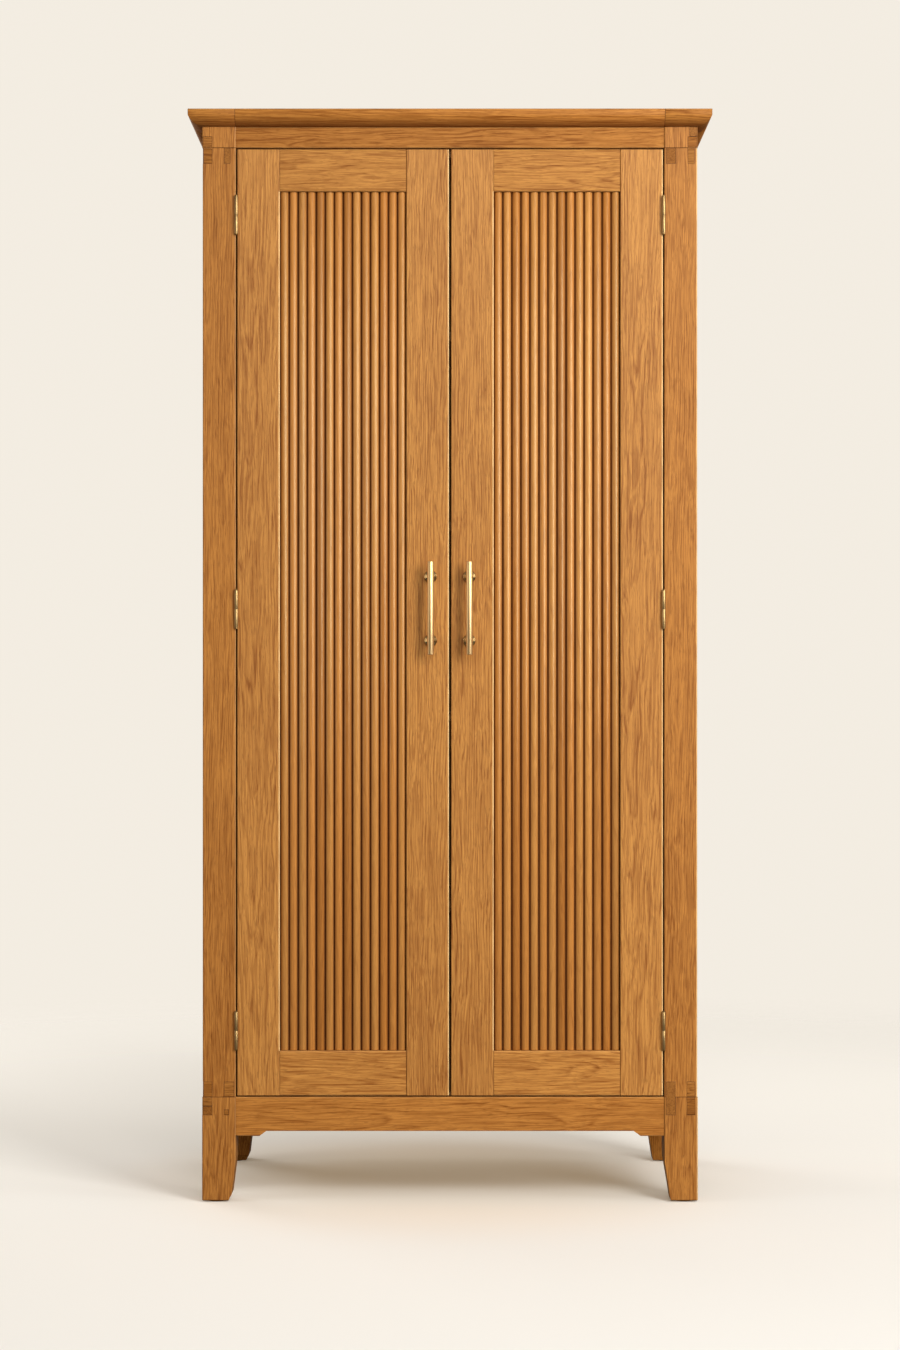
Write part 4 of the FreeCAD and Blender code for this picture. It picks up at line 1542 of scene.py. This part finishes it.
# --- screws and bolts --------------------------------------------------------------------------------------
@dataclass
class Screws(HingeWork):
    """Countersunk brass screws in the hinge leaves of one body, and the handle bolts where it is a door.

    The bolt's crown is given in millimetres down from its top, each with its share of the head's radius.
    """

    node: str = "case_hinge_screws"
    depth_y: float = -230.5 * MM
    step: float = 24.0 * MM
    head: float = 3.2 * MM
    head_faces: tuple[float, float] = (0.05 * MM, 0.25 * MM)
    countersink: float = 2.0 * MM
    shank: float = 1.6 * MM
    length: float = 16.0 * MM
    taper: float = 3.0 * MM
    point: float = 0.3 * MM
    slot_wide: float = 0.8 * MM
    slot_deep: float = 0.7 * MM
    slot_margin: float = 1.0 * MM
    slot_reach: float = 6.0 * MM
    bolt_x: float = 36.3 * MM
    bolt_levels: tuple[float, ...] = (1053.5 * MM, 1173.5 * MM)
    bolt_head: float = 4.0 * MM
    bolt_high: float = 2.6 * MM
    bolt_in: float = 36.0 * MM
    bolt_shank: float = 2.0 * MM
    bolt_crown: tuple[tuple[float, float], ...] = ((0.0, 0.55), (0.35, 0.84), (1.0, 1.0))
    screw_corners: int = 24
    bolt_corners: int = 32

    def build(self) -> None:
        """Build the screws and bolts as one piece that stands for their node."""
        brass = SatinBrass(f"{self.node}_brass", Grain.ACROSS, age=0.6, rough=0.32).material()
        made = []
        for side in self.sides:
            first = self._screw(side)
            first.data.materials.append(brass)
            made.append(first)
            for level in self.levels:
                for turn in (-1, 0, 1):
                    shift = level + turn * self.step - (self.levels[0] - self.step)
                    if shift > TOUCH:
                        made.append(Workshop.copy(first, f"screw_{len(made)}", (0.0, 0.0, shift)))
            if not self.on_case:
                bolt = self._bolt(side)
                bolt.data.materials.append(brass)
                made.append(bolt)
                rise = self.bolt_levels[1] - self.bolt_levels[0]
                made.append(Workshop.copy(bolt, "bolt_2", (0.0, 0.0, rise)))
        self.seat(Workshop.join(self.node.replace("screws", "slotted_screws"), made), "brass", self.node)

    def _screw(self, side: Side) -> bpy.types.Object:
        """Shape the lowest screw of one side.

        Args:
            side: side of the press.

        Returns:
            The screw.
        """
        outward, half = self.outward(side), self.slot_wide / 2
        x, y, z = side.value * self.axis_x + outward * self.leaf_air, self.depth_y, self.levels[0] - self.step
        profile = [
            *((face, self.head) for face in self.head_faces), (self.countersink, self.shank),
            (self.length - self.taper, self.shank), (self.length, self.point),
        ]
        screw = Workshop.turned("screw", profile, (x, y, z), (outward, 0, 0), self.screw_corners)
        start, end = sorted((x - outward * self.slot_margin, x + outward * self.slot_deep))
        Workshop.cut(screw, (start, y - self.slot_reach, z - half), (end, y + self.slot_reach, z + half))
        return screw

    def _bolt(self, side: Side) -> bpy.types.Object:
        """Shape the lower handle bolt of one door, its slotted head on the door's back.

        Args:
            side: side of the press.

        Returns:
            The bolt.
        """
        x, z, half = side.value * self.bolt_x, self.bolt_levels[0], self.slot_wide / 2
        r, high = self.bolt_head, self.bolt_high
        profile = [(-high + down * MM, r * share) for down, share in self.bolt_crown]
        profile += [(0.0, r), (0.0, self.bolt_shank), (self.bolt_in, self.bolt_shank)]
        bolt = Workshop.turned("bolt", profile, (x, DOOR_BACK, z), (0, -1, 0), self.bolt_corners)
        start, end = DOOR_BACK + high - self.slot_deep, DOOR_BACK + high + self.slot_margin
        Workshop.cut(bolt, (x - self.slot_reach, start, z - half), (x + self.slot_reach, end, z + half))
        return bolt


# --- doors -------------------------------------------------------------------------------------------------
@dataclass
class DoorFrame(Assembly):
    """Stiles, rails, panel and strike plate of one door."""

    side: Side = Side.LEFT
    panel_strips: Strips = Strips(0, 0.0, 79.2 * MM)
    rail_rounding: float = 4.5 * MM

    def build(self) -> None:
        """Dress the boards of the door."""
        label = self.side.label
        for part, panel_side, cut, depth in (
            ("door_hinge_stile", Side.LEFT, Cut.FLAT, 0.97),
            ("door_meeting_stile", Side.RIGHT, Cut.RIFT, 0.95),
        ):
            # Stiles are pale along their right-hand arrises, on the stile whose arris faces the panel only
            # alongside it: painted highlight where the light falls, with some rubbing.
            beside = PANEL_LEVELS if panel_side is self.side else None
            node = f"{label}_{part}"
            self.board(node, Grain.UPRIGHT, Tint.HONEY, depth, cut, worn=0.80, rubbed_part=beside)
        start, end = sorted(self.side.value * place for place in PANEL_SPAN)
        for part, depth in (("door_top_rail", 0.91), ("door_bottom_rail", 0.99)):
            node = f"{label}_{part}"
            low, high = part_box(node)
            span = Span((start, low.y, low.z), (end, high.y, high.z))
            self.board(
                node, Grain.ACROSS, Tint.HONEY, depth, Cut.FLAT, span, worn=0.1, gloss=0.14,
                rounding=self.rail_rounding,
            )
        # The panel's face, seen only down the grooves between the reeds, is darkened as painted shade.
        self.board(
            f"{label}_door_panel", Grain.UPRIGHT, Tint.AMBER, 0.95, Cut.FLAT, strips=self.panel_strips,
            hollow=(PANEL_FRONT + 1.5 * MM, PANEL_FRONT + 0.2 * MM),
        )
        self.dress(f"{label}_door_strike", ZincSteel(f"{label}_strike_steel"))


@dataclass
class ReedBank(Assembly):
    """Fourteen half-round reeds side by side on one door panel, cut from mixed stock."""

    side: Side = Side.LEFT
    tints: tuple[Tint, ...] = ()
    radius: float = 7.8 * MM
    corners: int = 48
    end_ease: float = 0.5 * MM
    grime: tuple[float, float] = (6.4 * MM, 1.6 * MM)
    sheen: Colour = (1.0, 1.0, 0.70)
    beyond: float = 1.0

    @property
    def pitch(self) -> float:
        """Distance from one reed to the next."""
        return (PANEL_SPAN[1] - PANEL_SPAN[0]) / len(self.tints)

    def build(self) -> None:
        """Build the reeds as one piece that stands for their node."""
        label = self.side.label
        places = [self.side.value * (PANEL_SPAN[0] + (i + 0.5) * self.pitch) for i in range(len(self.tints))]
        first = self._reed(places[0])
        reeds = [first]
        for number, place in enumerate(places[1:], start=2):
            reeds.append(Workshop.copy(first, f"reed_{number}", (place - places[0], 0.0, 0.0)))
        stock = {tint: self._stock(label, tint) for tint in dict.fromkeys(self.tints)}
        for reed, tint in zip(reeds, self.tints):
            reed.data.materials.clear()
            reed.data.materials.append(stock[tint])
        self.seat(Workshop.join(f"{label}_reed_bank", reeds), "oak", f"{label}_door_reeds")

    def _stock(self, label: str, tint: Tint) -> bpy.types.Material:
        """Make the oak of the reeds of one tint, with dark joints only at the reeds' ends and painted shade
        down in the grooves.

        Args:
            label: name of the side.
            tint: the tint.

        Returns:
            The material.
        """
        start, end = sorted(self.side.value * place for place in PANEL_SPAN)
        low, high = PANEL_LEVELS
        lowest = (start - self.beyond, PANEL_FRONT - self.beyond, low)
        highest = (end + self.beyond, PANEL_FRONT + self.beyond, high)
        # Painted shade on the reeds' flanks near the panel, where the grooves lie in shade.
        crest, root = (PANEL_FRONT - forward for forward in self.grime)
        oak = Oak(
            f"{label}_reed_{tint.name.lower()}", Span(lowest, highest), Grain.UPRIGHT, tint, 1.08, Cut.RIFT,
            figure=0.45, strips=Strips(0, 0.0, self.pitch), hollow=(crest, root), soiled=0.75, worn=0.0,
            joint_dark=0.5, rough=0.27, gloss=0.60, sheen=self.sheen,
        )
        return oak.material()

    def _reed(self, x: float) -> bpy.types.Object:
        """Shape one reed: a rod split down its middle, its ends eased.

        Args:
            x: where its middle lies.

        Returns:
            The reed.
        """
        low, high = PANEL_LEVELS
        foot = (x, PANEL_FRONT, low)
        reed = Workshop.rod("reed_1", self.radius, foot, high - low, self.corners)
        bpy.ops.object.mode_set(mode="EDIT")
        bpy.ops.mesh.select_all(action="SELECT")
        bpy.ops.mesh.bisect(plane_co=foot, plane_no=(0.0, 1.0, 0.0), use_fill=True, clear_outer=True)
        Workshop.close_mesh()

        def at_an_end(middle: Vector, _: Vector) -> bool:
            """Choose the round edges of the two ends."""
            return middle.y < PANEL_FRONT - TOUCH and min(abs(middle.z - end) for end in PANEL_LEVELS) < TOUCH

        Workshop.round_edges(reed, at_an_end, self.end_ease, 2)
        return reed


@dataclass
class BarHandle(Assembly):
    """Upright round bar on two turned pillars.

    Easing and turning are in millimetres: back from the bar's end and in from its side, and forward from the
    door with the pillar's radius there.
    """

    side: Side = Side.LEFT
    bar_brass: Colour = (0.712, 0.475, 0.225)
    pillar_brass: Colour = (0.420, 0.270, 0.110)
    x: float = 36.3 * MM
    z: float = 1113.5 * MM
    door_face: float = -241.5 * MM
    reach: float = 35.0 * MM
    bar_radius: float = 6.25 * MM
    bar_length: float = 174.5 * MM
    centres: float = 120.0 * MM
    bar_corners: int = 64
    pillar_corners: int = 56
    easing: tuple[tuple[float, float], ...] = ((0.9, 0.0), (0.55, 0.12), (0.2, 0.42), (0.0, 0.85))
    turning: tuple[tuple[float, float], ...] = (
        (0.0, 11.6), (0.35, 12.0), (2.0, 12.0), (2.7, 11.75), (3.4, 11.1), (4.2, 9.9), (5.0, 8.5), (6.0, 7.0),
        (7.2, 5.8), (8.6, 5.0), (10.2, 4.65), (12.0, 4.6),
    )

    def build(self) -> None:
        """Build the bar and the pillars, each standing for its node."""
        label, x = self.side.label, self.side.value * self.x
        half, r = self.bar_length / 2, self.bar_radius
        rim = [(half - back * MM, r - inset * MM) for back, inset in self.easing]
        profile = [(-distance, radius) for distance, radius in reversed(rim)] + rim
        centre_y = self.door_face - self.reach + r
        middle = (x, centre_y, self.z)
        bar = Workshop.turned(f"{label}_round_bar", profile, middle, (0, 0, 1), self.bar_corners)
        satin = SatinBrass(f"{label}_bar_brass", colour=self.bar_brass, rough=0.42, age=0.05)
        bar.data.materials.append(satin.material())
        self.seat(bar, "brass", f"{label}_handle_bar")

        steps = [(distance * MM, radius * MM) for distance, radius in self.turning]
        steps.append((self.reach - r * 1.1, steps[-1][1]))
        low = self.z - self.centres / 2
        foot = (x, self.door_face, low)
        first = Workshop.turned("pillar_1", steps, foot, (0, -1, 0), self.pillar_corners)
        brass = SatinBrass(f"{label}_pillar_brass", Grain.DEPTHWISE, self.pillar_brass, rough=0.20, age=0.35)
        first.data.materials.append(brass.material())
        second = Workshop.copy(first, "pillar_2", (0.0, 0.0, self.centres))
        pillars = Workshop.join(f"{label}_turned_pillars", [first, second])
        self.seat(pillars, "brass", f"{label}_handle_pillars")


# --- studio ------------------------------------------------------------------------------------------------
@dataclass(frozen=True)
class SoftBox:
    """One soft box: its name, where it hangs, its power in watts, and its width and height."""

    name: str
    place: tuple[float, float, float]
    power: float
    wide: float
    high: float


@dataclass
class Studio:
    """Pale floor, soft light and the camera.

    The floor is darkest where it comes near, from shaded_depth's first y to its second, by shaded's first
    share at the left of shaded_width and by its second at the right.
    """

    floor_radius: float = 16.0
    fade: tuple[float, float] = (1.7, 3.6)
    floor_colour: Colour = (0.985, 0.970, 0.940)
    floor_mottle: float = 0.985
    shaded: tuple[float, float] = (0.36, 0.46)
    shaded_depth: tuple[float, float] = (2.2, -2.6)
    shaded_width: tuple[float, float] = (-1.2, 1.2)
    bounce: float = 0.20
    backdrop: Colour = (0.900, 0.845, 0.758)
    glow: float = 0.46
    glow_tint: Colour = (0.50, 0.48, 0.435)
    under_glow: Colour = (0.400, 0.255, 0.100)
    under_reach: tuple[float, float] = (0.75, 0.25)
    ground: float = 0.10
    horizon: float = 0.18
    zenith: float = 0.50
    eye_level: tuple[float, float] = (0.49, 0.51)
    warmth: Colour = (1.000, 0.930, 0.840)
    lamp_colour: Colour = (1.0, 0.985, 0.950)
    lamps: tuple[SoftBox, ...] = (
        SoftBox("key", (2.25, -3.50, 2.10), 174.0, 1.6, 3.0),
        SoftBox("overhead", (0.35, -4.30, 3.10), 36.0, 1.2, 0.9),
        SoftBox("side", (4.00, -1.50, 2.00), 34.0, 1.2, 2.4),
        SoftBox("card", (-3.90, -1.30, 1.40), 28.0, 1.5, 2.6),
        SoftBox("wall", (-3.80, 3.60, 1.80), 76.0, 2.6, 2.6),
        SoftBox("front", (-1.00, -6.60, 2.40), 24.0, 3.0, 1.6),
    )
    aim: tuple[float, float, float] = (0.0, 0.0, 1.05)
    eye: tuple[float, float, float] = (0.0, -5.5685, 0.942)
    lens: float = 75.7
    rise: float = 0.0185

    def build(self) -> None:
        """Lay the floor, light the room and set the camera."""
        bpy.context.scene.view_settings.view_transform = "Standard"
        self._floor()
        self._room()
        for box in self.lamps:
            self._lamp(box)
        self._camera()

    def _floor(self) -> None:
        """Lay a pale floor that fades into the backdrop."""
        bpy.ops.mesh.primitive_circle_add(vertices=96, radius=self.floor_radius, fill_type="NGON")
        floor = bpy.context.active_object
        floor.name = "studio_floor"
        floor.data.materials.append(self._paper())
        floor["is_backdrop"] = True

    def _paper(self) -> bpy.types.Material:
        """Lay out the floor's nodes: paper that glows a little, and lights the press less than it seems to.

        Returns:
            The material.
        """
        bench = Bench("floor_paper")
        place = bench.place()
        grit = bench.noise(place, (900.0, 900.0, 900.0), 2.0)
        tone = bench.noise(place, (0.8, 0.8, 0.8), 2.0)
        darker = tuple(channel * self.floor_mottle for channel in self.floor_colour)
        seen = bench.node("ShaderNodeLightPath", output="Is Camera Ray")
        x, y, _ = bench.axes(place)
        nearer = y.eased(*self.shaded_depth) * x.eased(*self.shaded_width, *self.shaded)
        black = (0.0, 0.0, 0.0)
        away = bench.length(place)
        paper = bench.blend(nearer, bench.blend(tone, self.floor_colour, darker), black)
        dim = tuple(channel * self.bounce for channel in self.floor_colour)
        tinted = bench.blend(1.0, paper, self.glow_tint, "MULTIPLY")
        lifted = bench.blend(away.eased(*self.under_reach), tinted, self.under_glow)
        bench.shade({
            "Base Color": bench.blend(seen, dim, paper),
            "Roughness": grit * 0.1 + 0.85,
            "Specular IOR Level": 0.2,
            "Emission Color": bench.blend(seen, black, lifted),
            "Emission Strength": self.glow,
        })
        clear = bench.node("ShaderNodeBsdfTransparent")
        near = Value(bench, bench.shader.outputs[0])
        mixed = bench.node("ShaderNodeMixShader", inputs={0: away.eased(*self.fade), 1: near, 2: clear})
        bench.tree.links.new(mixed.socket, bench.tree.nodes["Material Output"].inputs["Surface"])
        return bench.material

    def _room(self) -> None:
        """Light the room softly from above, paler than the floor and dimmer at eye level."""
        world = bpy.data.worlds.new("room")
        world.use_nodes = True
        bpy.context.scene.world = world
        tree = world.node_tree
        links, nodes = tree.links, tree.nodes
        shown = nodes["Background"]
        shown.inputs["Color"].default_value = (*self.backdrop, 1.0)
        light = nodes.new("ShaderNodeBackground")
        ramp = nodes.new("ShaderNodeValToRGB")
        split = nodes.new("ShaderNodeSeparateXYZ")
        scale = nodes.new("ShaderNodeMapRange")
        scale.inputs["From Min"].default_value = -1.0
        links.new(nodes.new("ShaderNodeTexCoord").outputs["Generated"], split.inputs[0])
        links.new(split.outputs["Z"], scale.inputs["Value"])
        links.new(scale.outputs[0], ramp.inputs[0])
        links.new(ramp.outputs[0], light.inputs["Strength"])
        light.inputs["Color"].default_value = (*self.warmth, 1.0)
        below, above = self.eye_level
        stops = ((0.0, self.ground), (below, self.ground), (above, self.horizon), (1.0, self.zenith))
        Bench.place_stops(ramp.color_ramp, stops)
        mix = nodes.new("ShaderNodeMixShader")
        links.new(nodes.new("ShaderNodeLightPath").outputs["Is Camera Ray"], mix.inputs[0])
        links.new(light.outputs[0], mix.inputs[1])
        links.new(shown.outputs[0], mix.inputs[2])
        links.new(mix.outputs[0], nodes["World Output"].inputs["Surface"])

    def _lamp(self, box: SoftBox) -> None:
        """Hang one soft box, turned to the press.

        Args:
            box: the soft box.
        """
        bpy.ops.object.light_add(type="AREA", location=box.place)
        lamp = bpy.context.active_object
        lamp.name, lamp.data.energy, lamp.data.shape = f"{box.name}_light", box.power, "RECTANGLE"
        lamp.data.size, lamp.data.size_y = box.wide, box.high
        lamp.data.color = self.lamp_colour
        lamp.rotation_euler = (Vector(self.aim) - Vector(box.place)).to_track_quat("-Z", "Y").to_euler()

    def _camera(self) -> None:
        """Set the camera level, straight in front."""
        bpy.ops.object.camera_add(location=self.eye, rotation=(math.pi / 2, 0.0, 0.0))
        camera = bpy.context.active_object
        camera.data.lens, camera.data.sensor_width, camera.data.shift_y = self.lens, 36.0, self.rise
        bpy.context.scene.camera = camera


# --- the whole press ---------------------------------------------------------------------------------------
REED_STOCK = {
    Side.LEFT: (
        Tint.HONEY, Tint.AMBER, Tint.RUSSET, Tint.HONEY, Tint.AMBER, Tint.HONEY, Tint.RUSSET,
        Tint.AMBER, Tint.HONEY, Tint.RUSSET, Tint.AMBER, Tint.HONEY, Tint.AMBER, Tint.HONEY,
    ),
    Side.RIGHT: (
        Tint.AMBER, Tint.HONEY, Tint.RUSSET, Tint.AMBER, Tint.HONEY, Tint.AMBER, Tint.HONEY,
        Tint.RUSSET, Tint.AMBER, Tint.HONEY, Tint.HONEY, Tint.AMBER, Tint.RUSSET, Tint.HONEY,
    ),
}


def press_assemblies() -> Iterable[Assembly]:
    """List the sub-assemblies in the order in which they are built.

    Returns:
        The sub-assemblies of case and doors.
    """
    yield Carcase()
    yield SpliceKeys()
    yield Cornice()
    yield HingeLeaves()
    yield HingePins()
    yield Screws()
    for side in Side:
        body = f"{side.label}_door"
        yield DoorFrame(body, side=side)
        yield ReedBank(body, side=side, tints=REED_STOCK[side])
        yield BarHandle(body, side=side)
        yield HingeLeaves(body, sides=(side,))
        yield Screws(body, sides=(side,), node=f"{body}_screws")


def main() -> None:
    """Build the press and its studio, and measure its bounds before and after."""
    logging.basicConfig(level=logging.INFO, format="%(name)s: %(message)s")
    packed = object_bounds()
    for assembly in press_assemblies():
        assembly.build()
        for name in assembly.shown:
            faces = len(bpy.data.objects[name].data.polygons)
            log.info("%s on %s: %s, %d faces", type(assembly).__name__, assembly.body, name, faces)
    Studio().build()
    boxes = {"cad": packed, "visual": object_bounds()}
    {key: [list(corner) for corner in box] for key, box in boxes.items()}


if __name__ == "__main__":
    main()
